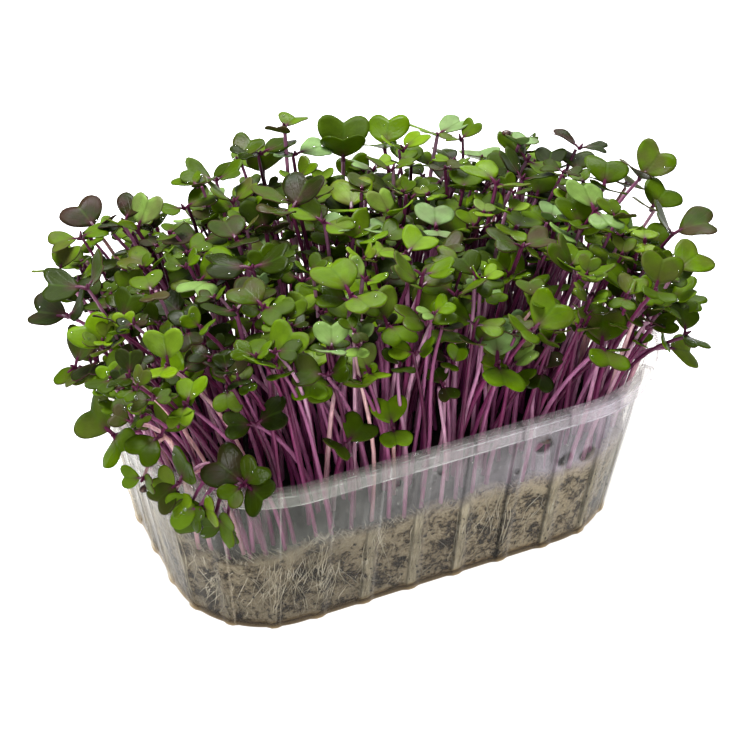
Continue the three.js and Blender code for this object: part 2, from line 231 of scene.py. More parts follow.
def addSoftbox(name, place, size, power):
    bpy.ops.object.light_add(type="AREA", location=[c * mm for c in place])
    light = bpy.context.object
    light.name = name
    aim = Vector((0, 0, 60 * mm)) - light.location
    light.rotation_mode = "QUATERNION"
    light.rotation_quaternion = aim.to_track_quat("-Z", "Y")
    light.data.size = size * mm
    light.data.energy = power


def addFloor():
    bpy.ops.mesh.primitive_plane_add(size=8, location=(0, 0, -0.02 * mm))
    floor = bpy.context.object
    floor.name = "floor"
    material, addNode = newMaterial("matte white table")
    shader = addNode("BsdfPrincipled", {
        "Base Color": studio["floorColour"],
        "Roughness": 0.9,
        "Specular IOR Level": 0.1,
        "Emission Color": "#ffffff",
        "Emission Strength": studio["floorGlow"],
    })
    addNode("OutputMaterial", [shader])
    floor.data.materials.append(material)


def setStudio():
    addCamera()
    addSoftbox("key softbox", studio["keyAt"], studio["keySize"], studio["keyPower"])
    addSoftbox("rim softbox", studio["rimAt"], studio["rimSize"], studio["rimPower"])
    addSoftbox("front softbox", studio["frontAt"], studio["frontSize"], studio["frontPower"])
    addFloor()
    world = bpy.data.worlds.new("white room")
    world.use_nodes = True
    background = world.node_tree.nodes["Background"]
    background.inputs["Color"].default_value = linearColour(studio["worldColour"])
    background.inputs["Strength"].default_value = studio["worldStrength"]
    scene = bpy.context.scene
    scene.world = world
    scene.view_settings.view_transform = "Standard"


# The punnet's plan is a rounded box; the medium fills it, and both are drawn from its spine outwards.
punnet = {
    "length": 190, "width": 134, "height": 71, "cornerRadius": 47, "wall": 0.8, "flange": 4, "skirt": 5.2,
    "lean": 9.4, "footFillet": 3.6, "flutes": 30, "fluteWidth": 5.4, "fluteDepthFoot": 1.0,
    "fluteDepthHead": 0.6,
    "gaugeRadius": 38,  # where the flutes' pitch and width are measured
    "perPitch": 16,  # faces round the wall from one flute to the next
}

medium = {"top": 39.5, "relief": 1.3, "clearance": 0.35}

spineX = punnet["length"] / 2 - punnet["cornerRadius"]
spineY = punnet["width"] / 2 - punnet["cornerRadius"]
footRadius = punnet["cornerRadius"] - punnet["flange"] - punnet["lean"]
wallFoot = punnet["footFillet"]
wallHead = punnet["height"] - punnet["skirt"] - 1
headRadius = punnet["cornerRadius"] - punnet["flange"] - 0.3
girth = 4 * (spineX + spineY) + 2 * math.pi * punnet["gaugeRadius"]
flutePitch = girth / punnet["flutes"]


def wallAt(height):
    share = (height - wallFoot) / (wallHead - wallFoot)
    flute = mix(punnet["fluteDepthFoot"], punnet["fluteDepthHead"], share)
    return mix(footRadius, headRadius, share), flute


def stationsRound(count):
    # Points of the spine and outward directions at even steps, from the middle of the front, anticlockwise.
    arc = math.pi / 2 * punnet["gaugeRadius"]
    distance = np.linspace(0, girth, count + 1)
    corners = [(1, -1), (1, 1), (-1, 1), (-1, -1)]
    breaks, spots, angles = [0], [(0, -1)], [-90]
    for i, corner in enumerate(corners):
        straight = spineX if i == 0 else (2 * spineY if i % 2 else 2 * spineX)
        breaks += [breaks[-1] + straight, breaks[-1] + straight + arc]
        spots += [corner, corner]
        angles += [-90 + 90 * i, 90 * i]
    breaks.append(girth)
    spots.append((0, -1))
    angles.append(270)
    along = [np.interp(distance, breaks, [spot[axis] for spot in spots]) for axis in (0, 1)]
    angle = np.radians(np.interp(distance, breaks, angles))
    return distance, along[0] * spineX, along[1] * spineY, np.cos(angle), np.sin(angle)


def offSpine(x, y):
    # How far out a place is from the spine, in plan.
    return np.hypot(np.maximum(0, np.abs(x) - spineX), np.maximum(0, np.abs(y) - spineY))


def fluteCrest(distance):
    # 1 on a flute's flat crest, 0 on the wall between.
    off = np.abs((distance / flutePitch) % 1 - 0.5) * flutePitch
    return 1 - smoothStep(punnet["fluteWidth"] * 0.2, punnet["fluteWidth"] * 0.56, off)


def wrapGrid(name, rings, count, shape):
    # A grid wrapped round the plan: one row of it for each ring, and its two ends meet.
    bpy.ops.mesh.primitive_grid_add(x_subdivisions=count, y_subdivisions=len(rings) - 1, size=2)
    piece = bpy.context.object
    piece.name = name
    distance, x, y, outX, outY = stationsRound(count)
    rows = []
    for ring in rings:
        scale, radius, height = shape(ring, distance)
        rows.append(np.stack([x * scale + outX * radius, y * scale + outY * radius,
                              np.broadcast_to(height, x.shape)], axis=1))
    setPoints(piece.data, np.concatenate(rows))
    return piece


# The seedlings stand in bunches, placed by the same rule as the part's own.
stand = {
    "rows": 6, "pitchX": 21, "pitchY": 17.4, "rootInset": 12, "splayX": 1.26, "splayY": 1.2,
    "reachX": 96, "reachY": 62, "height": 71, "sideDrop": 12, "frontWave": 9, "backDrop": 13,
    "backRightDrop": 11, "perBunch": 3, "rootRadius": 2.4, "bunchSeed": 1592, "draws": 100,
    "rimReach": 40, "rimRoom": 3,  # a stem further out than this passes the rim with this much room
    "leafMiddle": 8.5,
    "fillPerBunch": 8,  # finer seedlings round each bunch, beyond its own three
    "fillDraws": 24,
    "fillTop": 117, "fillNear": 6.5, "fillFar": 4, "fillSmallest": 0.5, "fillSizes": 0.42,
    "lean": 15,  # how far the finer ones lean out at the front left
    "fillSink": 18, "frontLeftSink": 12, "frontLeft": (-30, -20),
    "edgeStep": 6.2,  # from one seedling rooted along the wall to the next
    "edgeInset": 2.6, "edgeDepth": 2.2, "edgeStray": 3, "edgeSink": 20,
    "leaderSplayX": 1.3, "leaderSplayY": 1.25,
    # Smaller and fewer at the left end, and at the front left bare of leaves up to the canopy.
    "leftEnd": -45, "leftSize": 0.88, "leftPerBunch": 6,
    "bareX": (-82, -42), "bareY": -28, "bareHeight": 67, "bareSlope": 0.75,
    "fillSeed": 911,
    "growSeed": 5081,
}

# Bunch seedlings listed one by one: tip, size, the way the leaves head, and how far the stem arches.
strays = [
    {"tip": (-81, -64, 69), "size": 1, "turn": 125, "arch": 38},
    {"tip": (-89, -56, 79), "size": 0.95, "turn": 15, "arch": 22},
    {"tip": (-71, -65, 79), "size": 1.05, "turn": 100, "arch": 18},
    {"tip": (-100, -28, 80), "size": 1.2, "turn": 95, "arch": 16},
    {"tip": (-91, -47, 91), "size": 1, "turn": 25, "arch": 6},
    {"tip": (-64, -56, 93), "size": 0.9, "turn": -15},
    {"tip": (-84, -31, 95), "size": 1, "turn": 20, "arch": 4},
    {"tip": (-97, 26, 89), "size": 1.1, "turn": 150, "arch": 8},
    {"tip": (-97, 2, 85), "size": 0.85, "turn": 60, "arch": 8},
    {"tip": (-76, 58, 98), "size": 1.1, "turn": 100, "rise": 35},
    {"tip": (-35, -50, 94), "size": 1.1, "turn": 5},
    {"tip": (-36, -60, 79), "size": 0.85, "turn": 30},
    {"tip": (-20, -60, 80), "size": 0.85, "turn": 75},
    {"tip": (83, -55, 77), "size": 1, "turn": -10, "arch": 14},
    {"tip": (92, -44, 88), "size": 0.95, "turn": 130, "arch": 8},
    {"tip": (93, -32, 98), "size": 1, "turn": 100, "arch": 4},
    {"tip": (94, -35, 107), "size": 1.15, "turn": -25, "rise": 45},
    {"tip": (103, 1, 106), "size": 1.1, "turn": 20, "rise": 50},
    {"tip": (92, 6, 102), "size": 1.15, "turn": 60, "rise": 30},
    {"tip": (53, 58, 105), "size": 1, "turn": 10},
    {"tip": (14, 54, 106), "size": 1.3, "turn": 65, "rise": 60},
    {"tip": (32, 58, 104), "size": 1.1, "turn": 50, "rise": 40},
    {"tip": (-14, 60, 104), "size": 1.1, "turn": 90, "rise": 45},
    {"tip": (-8, 54, 124), "size": 0.75, "turn": 40},
]


# Tips of single seedlings that stand out of the canopy's edge.
leaders = [(-4, 54, 113), (-16, 56, 115), (-25, 55, 115), (-35, 50, 112), (-43, 46, 114), (-70, 44, 108),
           (-49, 44, 108), (-86, 42, 107), (-103, 0, 88), (-97, -5, 92), (101, 38, 99), (103, 9, 99),
           (101, -11, 101), (86, -60, 85)]

# Small ones that hang over the rim at the front left: tip, and how far the stem arches.
droopers = [(-90, -57, 76, 26), (-88, -60, 71, 34), (-72, -65, 79, 20), (-79, -67, 67, 40),
            (-85, -64, 74, 30)]


def mediumTop(x, y):
    waves = np.sin(x * 0.11 + 0.6) * np.cos(y * 0.13 - 0.4) + 0.6 * np.sin(x * 0.31 - y * 0.27)
    return medium["top"] + medium["relief"] * waves


def bunchCentres():
    reach = wallAt(medium["top"])[0] - punnet["wall"] - stand["rootInset"]
    centres = []
    for row in range(stand["rows"]):
        y = (row - (stand["rows"] - 1) / 2) * stand["pitchY"]
        halfX = spineX + math.sqrt(reach ** 2 - max(0, abs(y) - spineY) ** 2)
        count = int(2 * halfX // stand["pitchX"]) + 1
        for column in range(count):
            centres.append({"row": row, "column": column, "x": mix(-halfX, halfX, column / (count - 1)),
                            "y": y, "seedlings": []})
    return centres


def nearestCentre(centres, x, y):
    return min(centres, key=lambda centre: math.hypot(centre["x"] - x, centre["y"] - y))


def rootOf(centre, order):
    angle = math.radians(order * (360 / stand["perBunch"]) + 37 * centre["row"] + 71 * centre["column"])
    x = centre["x"] + stand["rootRadius"] * math.cos(angle)
    y = centre["y"] + stand["rootRadius"] * math.sin(angle)
    return np.array([x, y, mediumTop(x, y)])


def curvePoint(start, bend, end, share):
    return (1 - share) ** 2 * start + 2 * (1 - share) * share * bend + share ** 2 * end


def bendOf(root, tip, arch):
    bend = mix(root, tip, 0.3)
    bend[..., 2] = mix(root[..., 2], tip[..., 2], 0.62) + arch
    return bend


def stemPoint(seedling, share):
    share = np.asarray(share, dtype=float)[..., None]
    root, tip = seedling["root"], seedling["tip"]
    return curvePoint(root, bendOf(root, tip, seedling["arch"]), tip, share)


def stemAcross(root, tip, arch, height):
    # Where stems are at a height, in plan, or far away above their leaves.
    bend = bendOf(root, tip, arch)
    a = root[..., 2] - 2 * bend[..., 2] + tip[..., 2]
    b = 2 * (bend[..., 2] - root[..., 2])
    c = root[..., 2] - height
    share = ((-b + np.sqrt(np.maximum(0, b * b - 4 * a * c))) / (2 * a))[..., None]
    place = curvePoint(root, bend, tip, share)
    return np.where((height > tip[..., 2])[..., None], np.inf, place[..., :2])


def leafMiddles(seedling):
    angle = math.radians(seedling["turn"])
    out = stand["leafMiddle"] * seedling["size"] * np.array([math.cos(angle), math.sin(angle), 0])
    return np.stack([seedling["tip"] + out, seedling["tip"] - out]) + (0, 0, 3)


class Crowd:
    # What the dice has to keep clear of, in arrays, and how much each kind of gap counts for.
    gauges = np.array([55.0, 70, 85, 100])
    betweenLeaves = (1, 1, 2)
    leafToStem = 1.6
    betweenStems = 4

    def __init__(self):
        self.rows = {"root": [], "tip": [], "arch": [], "leaves": [], "stems": []}
        self.arrays = {}

    def add(self, seedling):
        stems = stemAcross(seedling["root"], seedling["tip"], seedling["arch"], self.gauges)
        values = (seedling["root"], seedling["tip"], seedling["arch"], leafMiddles(seedling), stems)
        for (name, rows), value in zip(self.rows.items(), values):
            rows.append(value)
            self.arrays[name] = np.array(rows)

    def room(self, seedling):
        if not self.arrays:
            return math.inf
        own = leafMiddles(seedling)
        crowd = self.arrays
        root, tip, arch = seedling["root"], seedling["tip"], seedling["arch"]
        step = (crowd["leaves"][:, :, None] - own[None, None]) * self.betweenLeaves
        room = np.sqrt((step ** 2).sum(-1)).min()
        with np.errstate(invalid="ignore"):
            bare = stemAcross(crowd["root"], crowd["tip"], crowd["arch"], own[0, 2])
            gaps = self.leafToStem * np.sqrt(((bare[:, None] - own[None, :, :2]) ** 2).sum(-1))
            mine = stemAcross(root, tip, arch, crowd["leaves"][:, :, 2])
            others = self.leafToStem * np.sqrt(((mine - crowd["leaves"][:, :, :2]) ** 2).sum(-1))
            stems = stemAcross(root, tip, arch, self.gauges)
            beside = self.betweenStems * np.sqrt(((crowd["stems"] - stems[None]) ** 2).sum(-1))
        return min(room, np.nanmin(gaps), np.nanmin(others), np.nanmin(beside))


def clearsRim(seedling):
    path = stemPoint(seedling, np.arange(0.3, 0.95, 0.1))
    out = offSpine(path[:, 0], path[:, 1])
    return not np.any((out > stand["rimReach"]) & (path[:, 2] < punnet["height"] + stand["rimRoom"]))


def crossesWall(seedling):
    path = stemPoint(seedling, np.linspace(0, 1, 60))
    out = offSpine(path[:, 0], path[:, 1])
    inner = wallAt(np.clip(path[:, 2], wallFoot, wallHead))[0] - punnet["wall"] - 0.3
    return np.any((out > inner) & (out < punnet["cornerRadius"] + 1) & (path[:, 2] < punnet["height"] + 1))


def standHeight(x, y):
    across, deep = np.clip(x / 75, -1, 1), np.clip(y / 44, -1, 1)
    side = stand["sideDrop"] * abs(across) ** 3
    front = stand["frontWave"] * math.sin(math.pi * across) * max(0, -deep) ** 2
    back = (stand["backDrop"] + stand["backRightDrop"] * max(0, across)) * max(0, deep) ** 2
    return medium["top"] + stand["height"] - side - front - back


def drawSeedling(centre, root, roll, fan=2.6, spread=14, lift=24, sink=15, inside=1.0):
    x = centre["x"] * stand["splayX"] + fan * (root[0] - centre["x"]) + (next(roll) - 0.5) * spread
    y = centre["y"] * stand["splayY"] + fan * (root[1] - centre["y"]) + (next(roll) - 0.5) * spread
    z = standHeight(centre["x"], centre["y"]) + next(roll) * lift - sink
    reachX, reachY = stand["reachX"] * inside, stand["reachY"] * inside
    tip = np.array([np.clip(x, -reachX, reachX), np.clip(y, -reachY, reachY), z])
    turn, size, rise = next(roll) * 180, 0.82 + 0.36 * next(roll), 10 + 34 * next(roll)
    return {"root": root, "tip": tip, "turn": turn, "size": size, "rise": rise, "arch": 0.0}


def roomiest(seedlings, crowd):
    # The one with the most room round it joins the crowd.
    rooms = [crowd.room(seedling) if clearsRim(seedling) else 0 for seedling in seedlings]
    best = seedlings[rooms.index(max(rooms))]
    crowd.add(best)
    return best


def sowBunches(centres, crowd):
    slots = [{"centre": c, "root": rootOf(c, order), "seedling": None}
             for c in centres for order in range(stand["perBunch"])]
    for stray in strays:
        x, y = stray["tip"][0] / stand["splayX"], stray["tip"][1] / stand["splayY"]
        free = [slot for slot in slots if not slot["seedling"]]
        slot = min(free, key=lambda one: math.hypot(one["root"][0] - x, one["root"][1] - y))
        slot["seedling"] = {"rise": 25, "arch": 0.0, **stray,
                            "tip": np.array(stray["tip"], dtype=float), "root": slot["root"]}
        crowd.add(slot["seedling"])
    roll = dice(stand["bunchSeed"])
    for slot in slots:
        if not slot["seedling"]:
            draws = [drawSeedling(slot["centre"], slot["root"], roll) for _ in range(stand["draws"])]
            slot["seedling"] = roomiest(draws, crowd)
        slot["centre"]["seedlings"].append(slot["seedling"])


def sowLeaders(centres, crowd):
    roll = dice(stand["fillSeed"] + 2)
    for *tip, arch in [(*tip, 0.0) for tip in leaders] + droopers:
        x, y = tip[0] / stand["leaderSplayX"], tip[1] / stand["leaderSplayY"]
        centre = nearestCentre(centres, x, y)
        root = np.array([mix(x, centre["x"], 0.3), mix(y, centre["y"], 0.3), medium["top"]])
        turn, size = 180 * next(roll), (0.6 if arch else 0.75) + 0.3 * next(roll)
        seedling = {"root": root, "tip": np.array(tip, dtype=float), "turn": turn, "arch": arch,
                    "size": size, "rise": 10 + 24 * next(roll), "fill": True}
        crowd.add(seedling)
        centre["seedlings"].append(seedling)


def sowFill(centres, crowd):
    # Finer seedlings between the bunches, each in the piece of the bunch it stands nearest.
    roll = dice(stand["fillSeed"])
    reach = wallAt(medium["top"])[0] - punnet["wall"] - 4
    for order in range(stand["fillPerBunch"]):
        for centre in centres:
            if order >= stand["leftPerBunch"] and centre["x"] < stand["leftEnd"]:
                continue
            angle = math.radians(60 * order + 40 * next(roll))
            far = stand["fillNear"] + stand["fillFar"] * next(roll)
            x, y = centre["x"] + far * math.cos(angle), centre["y"] + far * math.sin(angle)
            if offSpine(x, y) > reach:
                continue
            root = np.array([x, y, mediumTop(x, y)])
            sideX, sideY = stand["frontLeft"]
            atFrontLeft = centre["x"] < sideX and centre["y"] < sideY
            sink = stand["frontLeftSink"] if atFrontLeft else stand["fillSink"]
            centre["seedlings"].append(drawFill(centre, root, roll, crowd, sink))


def drawFill(centre, root, roll, crowd, sink):
    draws = []
    small = stand["fillSmallest"] + stand["fillSizes"] * next(roll) ** 1.6
    small *= stand["leftSize"] if centre["x"] < stand["leftEnd"] else 1
    # 1 at the front left end, where they lean out the most, and 0 from the middle to the right.
    leftward = np.clip(-root[0] / 60, 0, 1) * np.clip(0.3 - root[1] / 40, 0, 1)
    for _ in range(stand["fillDraws"]):
        seedling = drawSeedling(centre, root, roll, fan=1.5, spread=22, lift=sink + 7, sink=sink, inside=0.88)
        seedling["size"] *= small
        seedling["rise"] = 1.25 * seedling["rise"] - 8
        tip = seedling["tip"]
        tip[0] -= stand["lean"] * leftward
        if stand["bareX"][0] < tip[0] < stand["bareX"][1] and tip[1] < stand["bareY"]:
            tip[2] = max(tip[2], stand["bareHeight"] - stand["bareSlope"] * tip[1])
        tip[2] = min(tip[2], stand["fillTop"])
        draws.append({**seedling, "fill": True})
    return roomiest(draws, crowd)


def sowEdge(centres, crowd):
    # Seedlings rooted along the wall, so that their stems show through it.
    roll = dice(stand["fillSeed"] + 1)
    distance, x, y, outX, outY = stationsRound(int(girth / stand["edgeStep"]))
    reach = wallAt(medium["top"])[0] - punnet["wall"] - stand["edgeInset"]
    for i in range(len(distance) - 1):
        inset = stand["edgeDepth"] * next(roll)
        place = np.array([x[i] + outX[i] * (reach - inset), y[i] + outY[i] * (reach - inset)])
        place += stand["edgeStray"] * (next(roll) - 0.5) * np.array([-outY[i], outX[i]])
        root = np.array([*place, mediumTop(*place) + surfaceLift(*place)])
        centre = nearestCentre(centres, *place)
        centre["seedlings"].append(drawFill(centre, root, roll, crowd, stand["edgeSink"]))


# Every seedling has copies of one blade, stem, stalk and bud.
blade = {
    # One half of the outline, [across, along], from the stalk to the notch.
    "outline": [(0, 1.9), (1.3, 2.35), (3.2, 3.4), (5.1, 4.9), (6.5, 6.8), (7.1, 8.9), (6.8, 10.8),
                (5.6, 12.1), (3.9, 12.5), (2.0, 11.9), (0, 10.5)],
    "corners": (3, 6),  # outline points where the blade's foot and its top turn into its side
    "columns": 10,
    "rows": 6,
    "thickness": 0.34,
    "smaller": 0.86,  # size of a pair's second leaf
}

stem = {
    "radius": 0.88, "tipRadius": 0.62, "sides": 6, "rings": 10, "sunk": 4, "mostArch": 45,
    "stout": 0.9, "fine": 0.78, "sway": 1.6,  # least share of the radius in a bunch and between bunches
}
stalk = {"radius": 0.62, "sides": 5, "rings": 4, "taper": (1.15, 1, 1.05, 0.7), "flat": 0.75}
bud = {"length": 2.6, "radius": 0.8}

# How far apart the dice sets one leaf from the next.
habit = {
    "tilt": 22, "fold": 0.34, "unfold": 0.04, "curl": 0.055, "uncurl": 0.018, "twist": 0.9, "cup": 0.03,
    "wave": 0.22, "tone": 0.3,
    "ribRound": 5,  # how softly the fold turns at the midrib
    "bendAt": 3,  # where along the blade its curl and twist start
    # Painted shade: how much darker the leaves are toned towards the left end, and over which x.
    "leftLeafShade": 0.16, "leftShadeFrom": -30, "leftShadeTo": -60,
}


def splineAt(points, where):
    # A smooth curve through the points; a whole number is a point of the list.
    points = np.array(points, dtype=float)
    padded = np.concatenate([[2 * points[0] - points[1]], points, [2 * points[-1] - points[-2]]])
    i = np.minimum(np.floor(where).astype(int), len(points) - 2)
    t = (where - i)[:, None]
    a, b, c, d = (padded[i + k] for k in range(4))
    return 0.5 * (2 * b + (c - a) * t + (2 * a - 5 * b + 4 * c - d) * t ** 2
                  + (3 * b - a - 3 * c + d) * t ** 3)


def makeBlade():
    columns, rows = blade["columns"], blade["rows"]
    bpy.ops.mesh.primitive_grid_add(x_subdivisions=columns, y_subdivisions=rows, size=2)
    master = bpy.context.object
    lower, upper = blade["corners"]
    last = len(blade["outline"]) - 1
    half = columns // 2
    share = np.linspace(0, 1, half + 1)
    foot = splineAt(blade["outline"], share * lower)
    head = splineAt(blade["outline"], last - share * (last - upper))
    side = splineAt(blade["outline"], mix(lower, upper, np.linspace(0, 1, rows + 1)))
    middle = np.stack([np.zeros(rows + 1), mix(foot[0, 1], head[0, 1], np.linspace(0, 1, rows + 1))], axis=1)
    points = []
    for row in range(rows + 1):
        t = row / rows
        line = []
        for s, low, high in zip(share, foot, head):
            along = mix(low, high, t) + mix(middle[row], side[row], s)
            corners = mix(mix(foot[0], foot[-1], s), mix(head[0], head[-1], s), t)
            line.append(along - corners)
        points += [(-p[0], p[1], 0) for p in line[:0:-1]] + [(p[0], p[1], 0) for p in line]
    setPoints(master.data, points)
    solidify = master.modifiers.new("thickness", "SOLIDIFY")
    solidify.thickness = blade["thickness"] * mm
    solidify.offset = 0
    solidify.material_offset = 1
    applyAll(master)
    smoothFaces(master)
    master.name = "blade master"
    return master


def makeTube(name, sides, rings):
    # A closed tube of unit radius and unit height, extruded ring by ring.
    bpy.ops.mesh.primitive_circle_add(vertices=sides, radius=mm, fill_type="NGON", location=(0, 0, 0))
    tube = bpy.context.object
    tube.name = name
    bpy.ops.object.mode_set(mode="EDIT")
    bpy.ops.mesh.select_all(action="SELECT")
    for _ in range(rings - 1):
        bpy.ops.mesh.extrude_region_move(TRANSFORM_OT_translate={"value": (0, 0, mm / (rings - 1))})
    bpy.ops.mesh.select_all(action="SELECT")
    bpy.ops.mesh.normals_make_consistent(inside=False)
    bpy.ops.object.mode_set(mode="OBJECT")
    smoothFaces(tube, 60)
    return tube


def makeBud():
    bpy.ops.mesh.primitive_uv_sphere_add(segments=6, ring_count=5, radius=mm)
    master = bpy.context.object
    master.name = "bud master"
    points = pointsOf(master.data)
    points[:, :2] *= (1 - 0.35 * points[:, 2:])
    setPoints(master.data, points)
    smoothFaces(master)
    return master


def alongPath(master, path, radii, flat=1.0, sideways=None):
    # The unit tube's points, carried to rings round a path.
    points = pointsOf(master.data)
    share = np.clip(points[:, 2], 0, 1) * (len(path) - 1)
    i = np.minimum(share.astype(int), len(path) - 2)
    t = (share - i)[:, None]
    place = mix(path[i], path[i + 1], t)
    slope = np.gradient(path, axis=0)
    along = mix(slope[i], slope[i + 1], t)
    along /= np.linalg.norm(along, axis=1)[:, None]
    guide = np.array([1.0, 0.03, 0]) if sideways is None else sideways
    aside = guide - along * (along @ guide)[:, None]
    aside /= np.linalg.norm(aside, axis=1)[:, None]
    ahead = np.cross(along, aside)
    radius = np.interp(share, np.arange(len(radii)), radii)[:, None]
    return place + radius * (aside * points[:, :1] + ahead * points[:, 1:2] * flat)


def leafFrames(seedling):
    # Origin and axes of a seedling's two leaves.
    tip = seedling["tip"]
    up = unit(tip - stemPoint(seedling, 0.85))
    up[2] += 0.8
    up = unit(up)
    heading = math.radians(seedling["turn"])
    ahead = np.array([math.cos(heading), math.sin(heading), 0])
    ahead = unit(ahead - up * (ahead @ up))
    aside = np.cross(up, ahead)
    for side, share in ((1, 1), (-1, blade["smaller"])):
        rise = math.radians(seedling["rise"] + seedling.get("tilt", 0) * side)
        along = ahead * side * math.cos(rise) + up * math.sin(rise)
        across = -side * aside
        yield tip, across, along, np.cross(across, along), up, seedling["size"] * share


def keepInside(points):
    # The small move that brings a leaf back inside the part's own box.
    low, high = (np.array(corner) / mm for corner in cadBox)
    return np.maximum(low + 0.8 - points.min(0), 0) - np.maximum(points.max(0) - high + 0.8, 0)


def bendBlade(flat, leaf, roll, tone):
    # A leaf's points, as the dice folds, curls, twists and waves them, and its own tone and blush.
    wide, long, thick = flat.T
    tip, across, along, normal, _, size = leaf
    fold = habit["fold"] * next(roll) - habit["unfold"]
    curl = habit["uncurl"] - habit["curl"] * next(roll)
    twist, cup = habit["twist"] * (next(roll) - 0.5), habit["cup"] * (next(roll) - 0.65)
    leafTone, blush = tone + habit["tone"] * (next(roll) - 0.5), next(roll)
    # Painted shade: the leaf is toned darker towards the left end.
    leftward = smoothStep(habit["leftShadeFrom"], habit["leftShadeTo"], tip[0])
    leafTone = np.clip(leafTone - habit["leftLeafShade"] * leftward, 0, 1)
    wave = habit["wave"] * np.sin(long * 0.9 + 6 * tone) * (np.abs(wide) / 6.8) ** 2
    rib = np.sqrt(wide * wide + habit["ribRound"]) - math.sqrt(habit["ribRound"])
    beyond = long - habit["bendAt"]
    lift = (fold * rib + curl * beyond ** 2 + cup * wide * wide + wave + twist * wide * beyond / 18
            + thick / size)
    points = tip + size * (wide[:, None] * across + long[:, None] * along + lift[:, None] * normal)
    return points + keepInside(points), leafTone, blush


def growSeedling(seedling, masters, roll, wetSpots):
    parts = []

    def addPart(kind, points, *look):
        # The look's three numbers are each the same all over the part, or one for each point.
        part = copyOf(masters[kind], points)
        setAttribute(part.data, "look", np.stack([value * np.ones(len(points)) for value in look], axis=1))
        parts.append(part)

    def shareOf(kind):
        # How far along its tube each point is.
        return np.clip(pointsOf(masters[kind].data)[:, 2], 0, 1)

    tone, pale = next(roll), next(roll)
    seedling["tilt"] = habit["tilt"] * (next(roll) - 0.5)
    # A stem that would cut the wall arches over the rim.
    while crossesWall(seedling) and seedling["arch"] < stem["mostArch"]:
        seedling["arch"] += 3
    path = stemPoint(seedling, np.linspace(0, 1, stem["rings"]))
    path[0, 2] -= stem["sunk"]
    fine = seedling.get("fill")
    if fine:
        sway = stem["sway"] * np.sin(np.linspace(0, math.pi, len(path)) * (1 + next(roll)))
        path[:, 0] += sway * math.cos(6.28 * tone)
        path[:, 1] += sway * math.sin(6.28 * tone)
    thick = (stem["fine"] if fine else stem["stout"]) + 0.25 * next(roll)
    radii = thick * np.linspace(stem["radius"], stem["tipRadius"], stem["rings"])
    addPart("stem", alongPath(masters["stem"], path, radii), pale, tone, shareOf("stem"))
    flat = pointsOf(masters["blade"].data)
    for leaf in leafFrames(seedling):
        tip, across, along, normal, up, size = leaf
        points, leafTone, blush = bendBlade(flat, leaf, roll, tone)
        for _ in range(water["perLeaf"]):
            spot = int(next(roll) * len(points) / 2)
            wetSpots.append((points[spot], normal, next(roll)))
        addPart("blade", points, leafTone, blush, pale)
        start, end = tip - 0.5 * up, tip + size * 3.4 * along + 0.1 * normal
        knee = tip + 0.4 * up + size * 1.0 * along
        route = curvePoint(start, knee, end, np.linspace(0, 1, stalk["rings"])[:, None])
        widths = size * stalk["radius"] * np.array(stalk["taper"])
        points = alongPath(masters["stalk"], route, widths, stalk["flat"], across)
        addPart("stalk", points, 0.25 * pale, tone, 1 + shareOf("stalk"))
    shape = pointsOf(masters["bud"].data)
    axis = unit(up + 0.4 * along)
    side = unit(np.cross(axis, across))
    high = bud["length"] * (0.6 + 0.8 * next(roll))
    place = (shape[:, :1] * across + shape[:, 1:2] * side * 0.7) * bud["radius"]
    place = place + shape[:, 2:] * axis * high / 2
    addPart("bud", tip + place + axis * high * 0.35, 0.1, tone, 1.5)
    return parts


